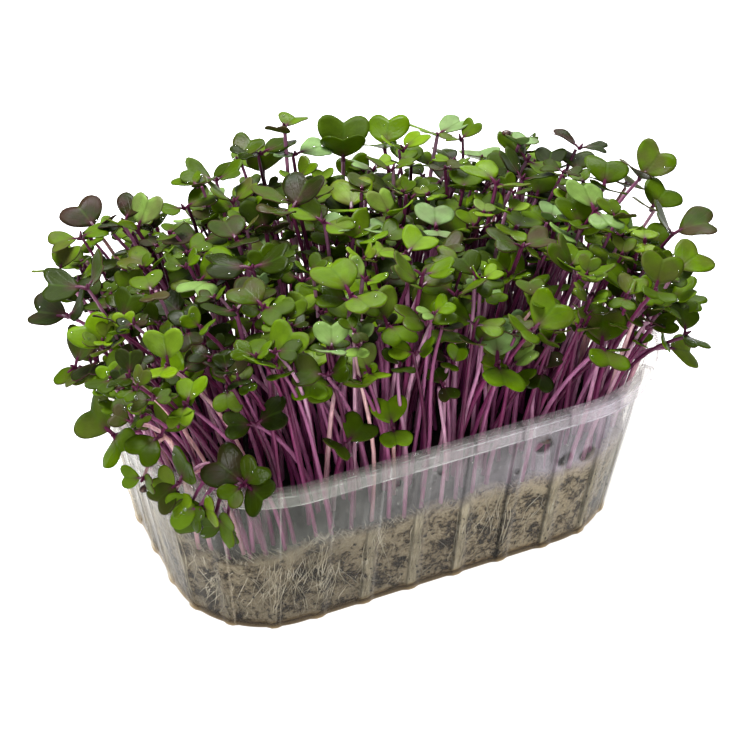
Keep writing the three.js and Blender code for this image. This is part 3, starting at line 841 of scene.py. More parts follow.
def makeBladeSkin(name, tones, underside=False):
    # Waxy living leaf: a satin skin with wet patches, thin enough for light to glow through.
    material, addNode = newMaterial(name)
    look = addNode("Attribute", [], attribute_name="look")
    own = addNode("SeparateXYZ", [look.outputs["Vector"]])
    base = addNode("ValToRGB", [own], stops=tones)
    coords = addNode("TexCoord", [])
    spot = coords.outputs["Object"]
    mottle = addNode("TexNoise", {"Vector": spot, "Scale": 1 / (5 * mm), "Detail": 3})
    shade = addNode("MapRange", [mottle, 0.3, 0.7, 0.8, 1.18])
    mottled = addNode("VectorMath", [base, shade], operation="MULTIPLY")
    plan = addNode("SeparateXYZ", [coords.outputs["UV"]])
    across = addNode("Math", [plan, 0.5], operation="SUBTRACT")
    across = addNode("Math", [across], operation="ABSOLUTE")
    along = addNode("Math", [plan.outputs[1], 0.5], operation="SUBTRACT")
    along = addNode("Math", [along], operation="ABSOLUTE")
    edge = addNode("Math", [across, along], operation="MAXIMUM")
    # Side veins leave the midrib at a slant, about 2 mm apart.
    slant = addNode("Math", [across, -1.6, plan.outputs[1]], operation="MULTIPLY_ADD")
    ripple = addNode("Math", [slant, 4.5], operation="MULTIPLY")
    ripple = addNode("Math", [ripple, 1.0], operation="PINGPONG")
    sideVein = addNode("MapRange", [ripple, 0.0, 0.14, 0.45, 0.0])
    midrib = addNode("MapRange", [across, 0.01, 0.045, 1.0, 0.0])
    vein = addNode("Math", [sideVein, midrib], operation="MAXIMUM")
    veinShare = addNode("Math", [vein, 0.35], operation="MULTIPLY")
    veinColour = "#8fa06a" if underside else "#3f5a14"
    veined = addNode("Mix", {0: veinShare, 6: mottled, 7: veinColour}, data_type="RGBA")
    # Purple pigment gathers along the margin and at the stalk.
    marginStart = addNode("MapRange", [own.outputs[1], 0.3, 1, 0.504, 0.455])
    margin = addNode("MapRange", [edge, marginStart, 0.505, 0, 0.7])
    foot = addNode("MapRange", [plan.outputs[1], 0.55, 0.02, 0, 1.0])
    nearRib = addNode("MapRange", [across, 0.22, 0.0, 0, 1.0])
    footStain = addNode("Math", [foot, nearRib], operation="MULTIPLY")
    # On some leaves it also clouds the blade.
    clouds = addNode("TexNoise", {"Vector": spot, "Scale": 1 / (9 * mm), "Detail": 2})
    flushed = addNode("MapRange", [own.outputs[1], 0.45, 1.0, 0, 0.7 if underside else 0.5])
    flush = addNode("MapRange", [clouds, 0.42, 0.62, 0, flushed])
    stain = addNode("Math", [margin, footStain], operation="MAXIMUM")
    stain = addNode("Math", [stain, flush], operation="MAXIMUM")
    coloured = addNode("Mix", {0: stain, 6: veined, 7: "#4b2130"}, data_type="RGBA")
    wet = addNode("TexNoise", {"Vector": spot, "Scale": 1 / (14 * mm), "Detail": 2})
    gloss = addNode("MapRange", [wet, 0.45, 0.62, 0.55, 0.26])
    grain = addNode("TexNoise", {"Vector": spot, "Scale": 1 / (0.9 * mm), "Detail": 2})
    relief = addNode("Math", [vein, -0.8, grain], operation="MULTIPLY_ADD")
    bump = addNode("Bump", {"Height": relief, "Strength": 0.35, "Distance": 0.25 * mm})
    skin = addNode("BsdfPrincipled", {
        "Base Color": coloured, "Roughness": gloss, "IOR": 1.4,
        "Specular IOR Level": 0.14, "Normal": bump})
    glow = addNode("HueSaturation", {"Hue": 0.485, "Saturation": 1.2, "Value": 1.4, "Color": coloured})
    through = addNode("BsdfTranslucent", {"Color": glow})
    both = addNode("MixShader", [0.36, skin, through])
    addNode("OutputMaterial", [both])
    return material


def makeStemSkin():
    # Juicy hypocotyl: magenta pigment in a translucent glossy skin, paler in some seedlings.
    material, addNode = newMaterial("purple seedling stem")
    look = addNode("Attribute", [], attribute_name="look")
    own = addNode("SeparateXYZ", [look.outputs["Vector"]])
    base = addNode("ValToRGB", [own], stops=[
        (0.0, "#3f0c29"), (0.35, "#762c58"), (0.7, "#a5678f"), (0.9, "#c39ab1"), (1.0, "#d2b0aa")])
    spot = addNode("TexCoord", []).outputs["Object"]
    stretch = addNode("Mapping", {"Vector": spot, "Scale": (1, 1, 0.12)})
    streaks = addNode("TexNoise", {"Vector": stretch, "Scale": 1 / (0.8 * mm), "Detail": 2})
    shade = addNode("MapRange", [streaks, 0.3, 0.7, 0.75, 1.3])
    streaked = addNode("VectorMath", [base, shade], operation="MULTIPLY")
    crown = addNode("MapRange", [own.outputs[2], 0.72, 1.05, 0, 0.75])
    low = addNode("MapRange", [own.outputs[2], 0.0, 0.45, 0.6, 0.0])
    footed = addNode("Mix", {0: low, 6: streaked, 7: "#8a3d76"}, data_type="RGBA")
    coloured = addNode("Mix", {0: crown, 6: footed, 7: "#4d1a36"}, data_type="RGBA")
    skin = addNode("BsdfPrincipled", {
        "Base Color": coloured, "Roughness": 0.34, "IOR": 1.4, "Specular IOR Level": 0.45})
    glow = addNode("HueSaturation", {"Value": 1.9, "Color": coloured})
    through = addNode("BsdfTranslucent", {"Color": glow})
    both = addNode("MixShader", [0.28, skin, through])
    addNode("OutputMaterial", [both])
    return material


def growStand():
    centres = bunchCentres()
    crowd = Crowd()
    sowBunches(centres, crowd)
    sowLeaders(centres, crowd)
    sowFill(centres, crowd)
    sowEdge(centres, crowd)
    print("sown", sum(len(c["seedlings"]) for c in centres), "seedlings")
    # The palest tone is partly the leaves' waxy bloom and partly a painted sheen.
    leafTones = [(0.0, "#1f2a02"), (0.2, "#334502"), (0.5, "#4a6303"), (0.75, "#5a7806"), (0.88, "#6c8811"),
                 (1.0, "#75915a")]
    underTones = [(0.0, "#2b3a0a"), (0.5, "#475c1c"), (1.0, "#677c42")]
    skins = [makeBladeSkin("waxy seed leaf, upper skin", leafTones),
             makeBladeSkin("waxy seed leaf, lower skin", underTones, underside=True)]
    stemSkin = makeStemSkin()
    masters = {"blade": makeBlade(), "stem": makeTube("stem master", stem["sides"], stem["rings"]),
               "stalk": makeTube("stalk master", stalk["sides"], stalk["rings"]), "bud": makeBud()}
    for name, master in masters.items():
        for skin in skins if name == "blade" else [stemSkin]:
            master.data.materials.append(skin)
        setAttribute(master.data, "look", np.zeros((len(master.data.vertices), 3)))
    roll = dice(stand["growSeed"])
    wetSpots = []
    for centre in centres:
        node = f"seedlings_row{centre['row'] + 1}_{centre['column'] + 1}"
        parts = []
        for seedling in centre["seedlings"]:
            parts += growSeedling(seedling, masters, roll, wetSpots)
        onRoot(joined(parts, f"fine_{node}"), node, slot="seedlings")
    for master in masters.values():
        bpy.data.objects.remove(master)
    return wetSpots


water = {
    "perLeaf": 2,
    "share": 0.5,  # how many of the spots recorded on the leaves carry a drop
    "leafSize": (0.25, 0.9),
    "flat": 0.62,
    "beads": 240, "beadSize": (0.22, 0.6), "beadLow": 42, "beadRise": 24, "beadTall": 0.6,
    "seed": 733,
}

# Patches of the wall that a drop has washed clear: [distance round the plan, height, radius].
washed = [(44.2, 46, 3.6), (53.2, 44.5, 4), (35, 55.5, 3.8), (508, 57, 1.5), (26, 47, 1.4),
          (492.6, 57.5, 1.5)]

seedCoats = {
    "size": (1.9, 1.35, 1.15),
    "onLeaves": [(52, 10, 110), (-6, -22, 104), (61, 34, 108), (-38, 30, 106), (-60, -2, 104)],
    # [distance, height, how far outside the wall's inner face, size]
    "onWall": [(401.5, 47, 1.1, 1), (35.8, 57.5, -2.2, 1.9)],
    # One sprouts against the wall: [distance, height] of each shoot's two ends, and its radius.
    "shoots": [((35.8, 57), (32.6, 52.6), 0.95), ((36.6, 56), (37.8, 42), 0.45)],
    "shootTaper": (0.7, 1, 1, 0.95, 0.85, 0.6), "shootInset": 1.1,
    "splitWidth": 0.35, "splitDepth": 0.3, "aboveLeaf": 0.9,
}


def makeDrop():
    bpy.ops.mesh.primitive_uv_sphere_add(segments=8, ring_count=5, radius=mm)
    master = bpy.context.object
    master.name = "drop master"
    smoothFaces(master)
    return master


def makeWaterSkin():
    # Clear water: what lies below shows through, and a small sharp glint of the softboxes sits on top.
    material, addNode = newMaterial("clear water drop")
    clear = addNode("BsdfTransparent", {"Color": "#f4f7f4"})
    facing = addNode("LayerWeight", {"Blend": 0.5})
    grazing = addNode("Math", [facing.outputs["Facing"], 4], operation="POWER")
    fresnel = addNode("MapRange", [grazing, 0, 1, 0.08, 0.6])
    shine = addNode("BsdfGlossy", {"Color": "#ffffff", "Roughness": 0.08})
    both = addNode("MixShader", [fresnel, clear, shine])
    addNode("OutputMaterial", [both])
    return material


def dropAt(master, place, normal, radius, tall=1.0):
    normal = unit(normal)
    aside = unit(np.cross(normal, (0.3, 0.2, 1.0)))
    ahead = np.cross(normal, aside)
    shape = pointsOf(master.data)
    height = radius * (water["flat"] * shape[:, 2:] + 0.2)
    return copyOf(master, place + radius * shape[:, :1] * aside + radius * tall * shape[:, 1:2] * ahead
                  + height * normal)


def scatterWater(wetSpots):
    roll = dice(water["seed"])
    skin = makeWaterSkin()
    master = makeDrop()
    master.data.materials.append(skin)
    parts = []
    for place, normal, luck in wetSpots:
        if luck < water["share"]:
            parts.append(dropAt(master, place, normal, mix(*water["leafSize"], next(roll) ** 2.5)))
    onRoot(joined(parts, "leaf_droplets"), slot="seedlings")
    parts = []
    for _ in range(water["beads"]):
        high = water["beadLow"] + water["beadRise"] * next(roll)
        place = againstWall([girth * next(roll)], [high], 0.0)[0]
        spine = (np.clip(place[0], -spineX, spineX), np.clip(place[1], -spineY, spineY), 0)
        inward = -unit(place * (1, 1, 0) - spine)
        radius = mix(*water["beadSize"], next(roll) ** 2)
        parts.append(dropAt(master, place, inward, radius, 1 + water["beadTall"] * next(roll)))
    onRoot(joined(parts, "wall_beads"), slot="clear_plastic")
    bpy.data.objects.remove(master)


def makeSeedCoatSkin():
    # Shed seed coat: a thin brittle husk, red brown with darker pits.
    material, addNode = newMaterial("brassica seed coat")
    spot = addNode("TexCoord", []).outputs["Object"]
    pits = addNode("TexNoise", {"Vector": spot, "Scale": 1 / (0.7 * mm), "Detail": 3})
    colour = addNode("ValToRGB", [pits], stops=[(0.38, "#170a07"), (0.6, "#3d2015"), (0.75, "#643c25")])
    bump = addNode("Bump", {"Height": pits, "Strength": 0.5, "Distance": 0.2 * mm})
    skin = addNode("BsdfPrincipled", {"Base Color": colour, "Roughness": 0.45, "Normal": bump})
    addNode("OutputMaterial", [skin])
    return material


def makeShootSkin():
    # Fat young shoot: juicy and smooth, deep purple.
    material, addNode = newMaterial("fresh purple shoot")
    skin = addNode("BsdfPrincipled", {
        "Base Color": "#6a2450", "Roughness": 0.4, "IOR": 1.4, "Specular IOR Level": 0.4})
    addNode("OutputMaterial", [skin])
    return material


def dropSeedCoats(wetSpots):
    bpy.ops.mesh.primitive_uv_sphere_add(segments=14, ring_count=9, radius=mm)
    master = bpy.context.object
    smoothFaces(master)
    master.data.materials.append(makeSeedCoatSkin())
    shape = pointsOf(master.data)
    # A split runs along the husk, where the leaves pushed out.
    split = np.exp(-(np.arctan2(shape[:, 1], shape[:, 0]) / seedCoats["splitWidth"]) ** 2)
    split = split * (1 - shape[:, 2] ** 2)
    shape = shape * (1 - seedCoats["splitDepth"] * split[:, None]) * seedCoats["size"]
    places, sizes = [], []
    for distance, high, out, size in seedCoats["onWall"]:
        places.append(againstWall([distance], [high], -out)[0])
        sizes.append(size)
    for wish in seedCoats["onLeaves"]:
        place, normal, _ = min(wetSpots, key=lambda spot: np.linalg.norm(spot[0] - wish))
        places.append(place + normal * seedCoats["aboveLeaf"])
        sizes.append(1)
    parts = []
    for i, (place, size) in enumerate(zip(places, sizes)):
        turn = 1.3 * i + 0.4
        turned = size * shape
        turned[:, 0] = size * (shape[:, 0] * math.cos(turn) - shape[:, 1] * math.sin(turn))
        turned[:, 1] = size * (shape[:, 0] * math.sin(turn) + shape[:, 1] * math.cos(turn))
        parts.append(copyOf(master, place + turned))
    bpy.data.objects.remove(master)
    taper = np.array(seedCoats["shootTaper"])
    master = makeTube("shoot master", 6, len(taper))
    master.data.materials.append(makeShootSkin())
    share = np.linspace(0, 1, len(taper))
    for start, end, radius in seedCoats["shoots"]:
        distance, high = (mix(start[axis], end[axis], share) for axis in (0, 1))
        path = againstWall(distance, high, seedCoats["shootInset"])
        parts.append(copyOf(master, alongPath(master, path, radius * taper)))
    bpy.data.objects.remove(master)
    onRoot(joined(parts, "seed_coats"), slot="seedlings")


bed = {
    "count": 420, "sideRings": 16, "topRings": 26,
    "crown": 0.62,  # share of the top's rings that lie outside the spine
    "edgeLift": 2.6,  # how far the surface wanders up and down along the wall
    "lowCorner": (-70, -50),  # where the medium has washed away from the wall
    "lowFlat": 4, "lowReach": 26, "lowDepth": 5,
    "settled": 0.7,  # how far below the surface its side ends
    "sideBumps": 0.4,
}


def rootMass(distance):
    # How full of roots each flute is, from 0 to 1, different from flute to flute.
    flute = np.floor(distance / flutePitch)
    washedOut = np.where((flute % punnet["flutes"] > 23) & (flute % punnet["flutes"] < 28), 0.3, 1)
    return washedOut * (0.2 + 0.8 * np.abs(np.sin(flute * 2.4 + 0.8)))


def surfaceLift(x, y):
    # The crumbly surface's own rise and fall over the medium's level.
    low = np.hypot(x - bed["lowCorner"][0], y - bed["lowCorner"][1])
    washed = bed["lowDepth"] * (1 - smoothStep(bed["lowFlat"], bed["lowReach"], low))
    waves = [noise.noise(Vector((a / 17, b / 17, 3.1))) + 0.5 * noise.noise(Vector((a / 6, b / 6, 7.7)))
             for a, b in zip(np.ravel(x), np.ravel(y))]
    return bed["edgeLift"] * np.reshape(waves, np.shape(x)) - washed


def bedRadius(distance, high):
    # Distance of the medium's side from the spine.
    radius, flute = wallAt(high)
    return radius - punnet["wall"] - medium["clearance"] + fluteCrest(distance) * flute


def makeMediumPiece():
    footReach, footFlute = wallAt(wallFoot)
    gap = punnet["wall"] + medium["clearance"]
    crown = bed["crown"]
    rings = [("under", 0.0), ("under", 1.0)] + [("foot", t) for t in (25, 50, 75)]
    underRings = len(rings)
    rings += [("side", t) for t in np.linspace(0, 1, bed["sideRings"])]
    rings += [("top", t) for t in np.linspace(0.03, 1, bed["topRings"])]

    def shape(ring, distance):
        kind, t = ring
        crest = fluteCrest(distance)
        if kind == "under":
            return t, (footReach - gap - punnet["footFillet"]) * t, gap
        if kind == "foot":
            turn, bend = math.radians(t), punnet["footFillet"]
            inside = footReach - gap - bend * (1 - math.sin(turn))
            share = smoothStep(0.3, 1, math.sin(turn))
            return 1, inside + crest * footFlute * share, gap + bend * (1 - math.cos(turn))
        if kind == "side":
            high = mix(wallFoot + gap, medium["top"] - 1, t)
            bumps = (1 + np.sin(distance * 0.9 + 9 * t) * np.sin(distance * 0.37 - 14 * t)) * (t > 0.01)
            return 1, bedRadius(distance, high) - bed["sideBumps"] * bumps * (1 - 0.6 * crest), high
        if t < crown:
            return 1, (bedRadius(distance, medium["top"]) - 0.3) * (1 - t / crown), medium["top"]
        return 1 - (t - crown) / (1 - crown), 0, medium["top"]

    piece = wrapGrid("fine_growing_medium", rings, bed["count"], shape)
    points = pointsOf(piece.data)
    perRing = bed["count"] + 1
    sideStart = perRing * underRings
    topStart = sideStart + perRing * bed["sideRings"]
    surface = points[topStart:]
    surface[:, 2] = mediumTop(surface[:, 0], surface[:, 1]) - 0.3 + surfaceLift(surface[:, 0], surface[:, 1])
    for point in surface:
        spot = Vector(point)
        point[2] += 1.1 * noise.noise(spot * 0.45) + 0.8 * noise.noise(spot * 1.3) - 0.4
    side = points[sideStart:topStart]
    level = mediumTop(side[:, 0], side[:, 1]) + surfaceLift(side[:, 0], side[:, 1]) - bed["settled"]
    low, high = side[:, 2].min(), side[:, 2].max()
    side[:, 2] = mix(low, level, (side[:, 2] - low) / (high - low))
    setPoints(piece.data, points)
    distance = np.tile(stationsRound(bed["count"])[0], len(rings))
    rooty = fluteCrest(distance) * rootMass(distance)
    rooty[topStart:] = 0
    setAttribute(piece.data, "roots", rooty)
    outside = np.ones(len(points))
    outside[topStart + perRing:] = 0
    setAttribute(piece.data, "outside", outside)
    closeSeams(piece)
    smoothFaces(piece)
    piece.data.materials.append(makeSoil())
    onRoot(piece, "growing_medium", slot="growing_medium")


def makeSoil():
    # Damp peat and coir: near black crumbs, darkened further on the top as painted shade under the canopy,
    # grey brown where roots and the wet wall bind them, cream in the flutes, where the roots pack together.
    material, addNode = newMaterial("damp peat and coir")
    spot = addNode("TexCoord", []).outputs["Object"]
    place = addNode("SeparateXYZ", [spot])
    clusters = addNode("TexNoise", {"Vector": spot, "Scale": 1 / (6.5 * mm), "Detail": 3})
    crumbs = addNode("TexNoise", {"Vector": spot, "Scale": 1 / (1.5 * mm), "Detail": 6, "Roughness": 0.74})
    grains = addNode("TexVoronoi", {"Vector": spot, "Scale": 1 / (1.1 * mm), "Randomness": 1})
    grit = addNode("TexNoise", {"Vector": spot, "Scale": 1 / (1.0 * mm), "Detail": 4, "Roughness": 0.7})
    # Dark crumbs lie thickest halfway up the side; roots hide them near the surface.
    depth = addNode("MapRange", [place.outputs["Z"], 22 * mm, 38 * mm, -0.5, -0.43])
    clustered = addNode("Math", [clusters, 0.85, depth], operation="MULTIPLY_ADD")
    lifted = addNode("Math", [crumbs, 1.3, clustered], operation="MULTIPLY_ADD")
    bound = addNode("ValToRGB", [lifted], stops=[
        (0.46, "#150c05"), (0.495, "#3a2c1e"), (0.545, "#73664f"), (0.68, "#aa9e85")])
    grainShade = addNode("MapRange", [grains.outputs["Distance"], 0.0, 0.75, 1.12, 0.78])
    speckled = addNode("VectorMath", [bound, grainShade], operation="MULTIPLY")
    # Painted shade on top of the peat's own dark colour: the surface under the canopy is near black.
    shadedTopCrumbs = addNode("ValToRGB", [grit], stops=[(0.4, "#060403"), (0.75, "#241b15")])
    outside = addNode("Attribute", [], attribute_name="outside")
    base = addNode("Mix", {0: outside.outputs["Fac"], 6: shadedTopCrumbs, 7: speckled}, data_type="RGBA")
    stretch = addNode("Mapping", {"Vector": spot, "Scale": (1, 1, 0.14)})
    fibres = addNode("TexNoise", {"Vector": stretch, "Scale": 1 / (1.1 * mm), "Detail": 4})
    mat = addNode("TexNoise", {"Vector": spot, "Scale": 1 / (13 * mm), "Detail": 5, "Roughness": 0.65})
    # A thin mat of roots greys the side near the surface of the medium.
    high = addNode("MapRange", [place.outputs["Z"], 22 * mm, 41 * mm, -0.14, 0.11])
    matted = addNode("Math", [mat, high], operation="ADD")
    matShare = addNode("MapRange", [matted, 0.5, 0.78, 0, 0.5])
    packed = addNode("Attribute", [], attribute_name="roots")
    ragged = addNode("Math", [grit, -0.5, packed.outputs["Fac"]], operation="MULTIPLY_ADD")
    packedShare = addNode("MapRange", [ragged, 0.0, 0.5, 0, 0.92])
    shares = addNode("Math", [packedShare, matShare], operation="MAXIMUM")
    covered = addNode("Math", [shares, outside.outputs["Fac"]], operation="MULTIPLY")
    strands = addNode("MapRange", [fibres, 0.34, 0.62, 0.6, 1.0])
    rootShare = addNode("Math", [covered, strands], operation="MULTIPLY")
    cream = addNode("ValToRGB", [fibres], stops=[(0.3, "#958d76"), (0.65, "#c8c0a8")])
    rooted = addNode("Mix", {0: rootShare, 6: base, 7: cream}, data_type="RGBA")
    # Painted shade: the medium is darker towards the left end.
    leftSoilShade = addNode("MapRange", [place.outputs["X"], -40 * mm, 20 * mm, 0.61, 1.06])
    coloured = addNode("VectorMath", [rooted, leftSoilShade], operation="MULTIPLY")
    relief = addNode("Math", [rootShare, 0.4, crumbs], operation="MULTIPLY_ADD")
    bump = addNode("Bump", {"Height": relief, "Strength": 0.8, "Distance": 0.9 * mm})
    skin = addNode("BsdfPrincipled", {
        "Base Color": coloured, "Roughness": 0.85, "Specular IOR Level": 0.15,
        "Normal": bump})
    addNode("OutputMaterial", [skin])
    return material


# Roots, root hairs and crumbs, all against the wall.
roots = {
    "strandsPerFlute": 5, "strandRadius": 0.15, "wander": 1.1, "strandSpread": 3.4, "lowest": 5,
    "strandTaper": (0.6, 1, 1, 1, 0.9, 0.7, 0.3),
    "slanting": 170, "slantRun": 16,  # strands that cross from flute to flute
    "fans": [(-46, 33), (-38, 25), (-60, 31), (-24, 36), (20, 38), (-86, 31), (-76, 30), (-68, 33), (-54, 28),
             (-80, 22)],  # [distance from the front's middle, height]
    "perFan": 10, "fanFoot": 7, "fanRun": 24,
    "hairs": 400, "hairRadius": 0.07, "hairLength": (3, 8), "hairLean": 1.4, "hairTaper": (1.2, 1, 0.8, 0.5),
    "hairFront": -95, "hairFrontRun": 110,  # half of the hairs lie along this stretch
    "crumbs": 1000, "crumbSize": (0.25, 0.8), "perCluster": 20, "clusterReach": 11, "clusterRise": 7,
    "looseEvery": 13,  # every so many, a crumb lies above the surface
    "crumbFlat": 0.65,
    "seed": 4177,
}


def againstWall(distance, high, inset):
    # Points on the inside of the wall, from the distance round the plan and the height.
    along, x, y, outX, outY = stationsRound(2000)
    place = np.asarray(distance, dtype=float) % girth
    radius, flute = wallAt(np.asarray(high, dtype=float))
    reach = radius - punnet["wall"] - inset + fluteCrest(place) * flute
    columns = [np.interp(place, along, column) for column in (x, y, outX, outY)]
    return np.stack([columns[0] + columns[2] * reach, columns[1] + columns[3] * reach,
                     np.broadcast_to(high, place.shape)], axis=1)


def soilLevel(distance):
    spot = againstWall(np.atleast_1d(distance), np.full(np.size(distance), medium["top"]), 1)
    return mediumTop(spot[:, 0], spot[:, 1]) + surfaceLift(spot[:, 0], spot[:, 1]) - bed["settled"]


def strandAlong(master, distance, high, radius):
    path = againstWall(distance, high, 0.3)
    return copyOf(master, alongPath(master, path, radius * np.array(roots["strandTaper"])))


def layRoots(roll):
    rings = len(roots["strandTaper"])
    master = makeTube("root master", 3, rings)
    master.data.materials.append(makeRootSkin())
    steps = np.linspace(0, 1, rings)
    wander = roots["wander"]

    def sway():
        return wander * np.sin(steps * (3 + 5 * next(roll)) + 6.3 * next(roll))

    parts = []
    for flute in range(punnet["flutes"]):
        middle = (flute + 0.5) * flutePitch
        for _ in range(roots["strandsPerFlute"]):
            start = middle + roots["strandSpread"] * (next(roll) - 0.5)
            level = soilLevel(start)[0]
            top, foot = level - 1 - 8 * next(roll) ** 2, roots["lowest"] + 8 * next(roll)
            radius = roots["strandRadius"] * (0.6 + 0.8 * next(roll))
            parts.append(strandAlong(master, start + 0.7 * sway(), mix(top, foot, steps), radius))
    for _ in range(roots["slanting"]):
        start, run = girth * next(roll), roots["slantRun"] * (next(roll) - 0.5)
        level = soilLevel(start)[0]
        top = 8 + (level - 9) * next(roll)
        foot = max(roots["lowest"], top - 3 - 14 * next(roll))
        parts.append(strandAlong(master, start + run * steps + sway(), mix(top, foot, steps),
                                 roots["strandRadius"] * (0.35 + 0.5 * next(roll))))
    for start, high in roots["fans"]:
        for _ in range(roots["perFan"]):
            run, drop = roots["fanRun"] * (next(roll) - 0.5), 8 + 18 * next(roll)
            foot = max(roots["lowest"], high - drop)
            spread = start + roots["fanFoot"] * (next(roll) - 0.5) + run * steps ** 1.6 + sway()
            parts.append(strandAlong(master, spread, mix(high + 3 * next(roll), foot, steps),
                                     roots["strandRadius"] * (0.5 + 0.7 * next(roll))))
    bpy.data.objects.remove(master)
    onRoot(joined(parts, "root_strands"), slot="growing_medium")


def layHairs(roll):
    # Downy root hairs stand off the surface of the medium beside the wall.
    rings = len(roots["hairTaper"])
    master = makeTube("hair master", 3, rings)
    master.data.materials.append(makeRootSkin())
    steps = np.linspace(0, 1, rings)
    parts = []
    for _ in range(roots["hairs"]):
        front = next(roll) < 0.5
        luck = next(roll)
        distance = roots["hairFront"] + roots["hairFrontRun"] * luck if front else girth * luck
        length = mix(*roots["hairLength"], next(roll))
        lean = roots["hairLean"] * (next(roll) - 0.5)
        high = soilLevel(distance)[0] - 1.5 + length * steps * (0.5 + 0.4 * next(roll))
        place = distance + lean * length * steps + 0.5 * np.sin(steps * 4)
        path = againstWall(place, high, 0.35 + 1.6 * next(roll))
        radii = roots["hairRadius"] * np.array(roots["hairTaper"]) * (0.7 + next(roll))
        parts.append(copyOf(master, alongPath(master, path, radii)))
    bpy.data.objects.remove(master)
    onRoot(joined(parts, "root_hairs"), slot="growing_medium")


def makeRootSkin():
    # Fresh roots: cream and satin, a little translucent.
    material, addNode = newMaterial("fresh cream root")
    spot = addNode("TexCoord", []).outputs["Object"]
    patches = addNode("TexNoise", {"Vector": spot, "Scale": 1 / (6 * mm), "Detail": 2})
    colour = addNode("ValToRGB", [patches], stops=[(0.35, "#8f8873"), (0.52, "#b9b29e"), (0.7, "#ddd8c8")])
    skin = addNode("BsdfPrincipled", {"Base Color": colour, "Roughness": 0.5, "Specular IOR Level": 0.3})
    through = addNode("BsdfTranslucent", {"Color": colour})
    both = addNode("MixShader", [0.25, skin, through])
    addNode("OutputMaterial", [both])
    return material


def scatterCrumbs(roll):
    # Dark crumbs of peat pressed to the wall, in loose clusters, and a few above the surface.
    bpy.ops.mesh.primitive_ico_sphere_add(subdivisions=1, radius=mm)
    master = bpy.context.object
    smoothFaces(master, 40)
    master.data.materials.append(makeCrumbSkin())
    shape = pointsOf(master.data)
    parts = []
    for i in range(roots["crumbs"]):
        if i % roots["perCluster"] == 0:
            cluster = (girth * next(roll), 8 + 21 * next(roll))
        distance = cluster[0] + roots["clusterReach"] * (next(roll) + next(roll) - 1)
        high = cluster[1] + roots["clusterRise"] * (next(roll) + next(roll) - 1)
        if i % roots["looseEvery"] == 0:
            high = soilLevel(distance)[0] + 3 * next(roll)
        spot = againstWall([distance], [high], 0.2)[0]
        size = mix(*roots["crumbSize"], next(roll) ** 2)
        stretch = size * np.array([0.7 + 0.6 * next(roll), 0.7 + 0.6 * next(roll), 0.6 + 0.5 * next(roll)])
        towards = unit(spot[:2])
        points = shape * stretch
        depth = points[:, :2] @ towards
        points[:, :2] -= roots["crumbFlat"] * depth[:, None] * towards
        parts.append(copyOf(master, points + spot - np.append(0.35 * size * towards, 0)))
    bpy.data.objects.remove(master)
    onRoot(joined(parts, "peat_crumbs"), slot="growing_medium")


def makeCrumbSkin():
    # Wet peat crumb: nearly black, rough, with a faint brown bloom.
    material, addNode = newMaterial("wet peat crumb")
    spot = addNode("TexCoord", []).outputs["Object"]
    bloom = addNode("TexNoise", {"Vector": spot, "Scale": 1 / (0.8 * mm), "Detail": 3})
    colour = addNode("ValToRGB", [bloom], stops=[(0.4, "#120d0a"), (0.7, "#33281f")])
    bump = addNode("Bump", {"Height": bloom, "Strength": 0.6, "Distance": 0.3 * mm})
    skin = addNode("BsdfPrincipled", {
        "Base Color": colour, "Roughness": 0.7, "Specular IOR Level": 0.3, "Normal": bump})
    addNode("OutputMaterial", [skin])
    return material


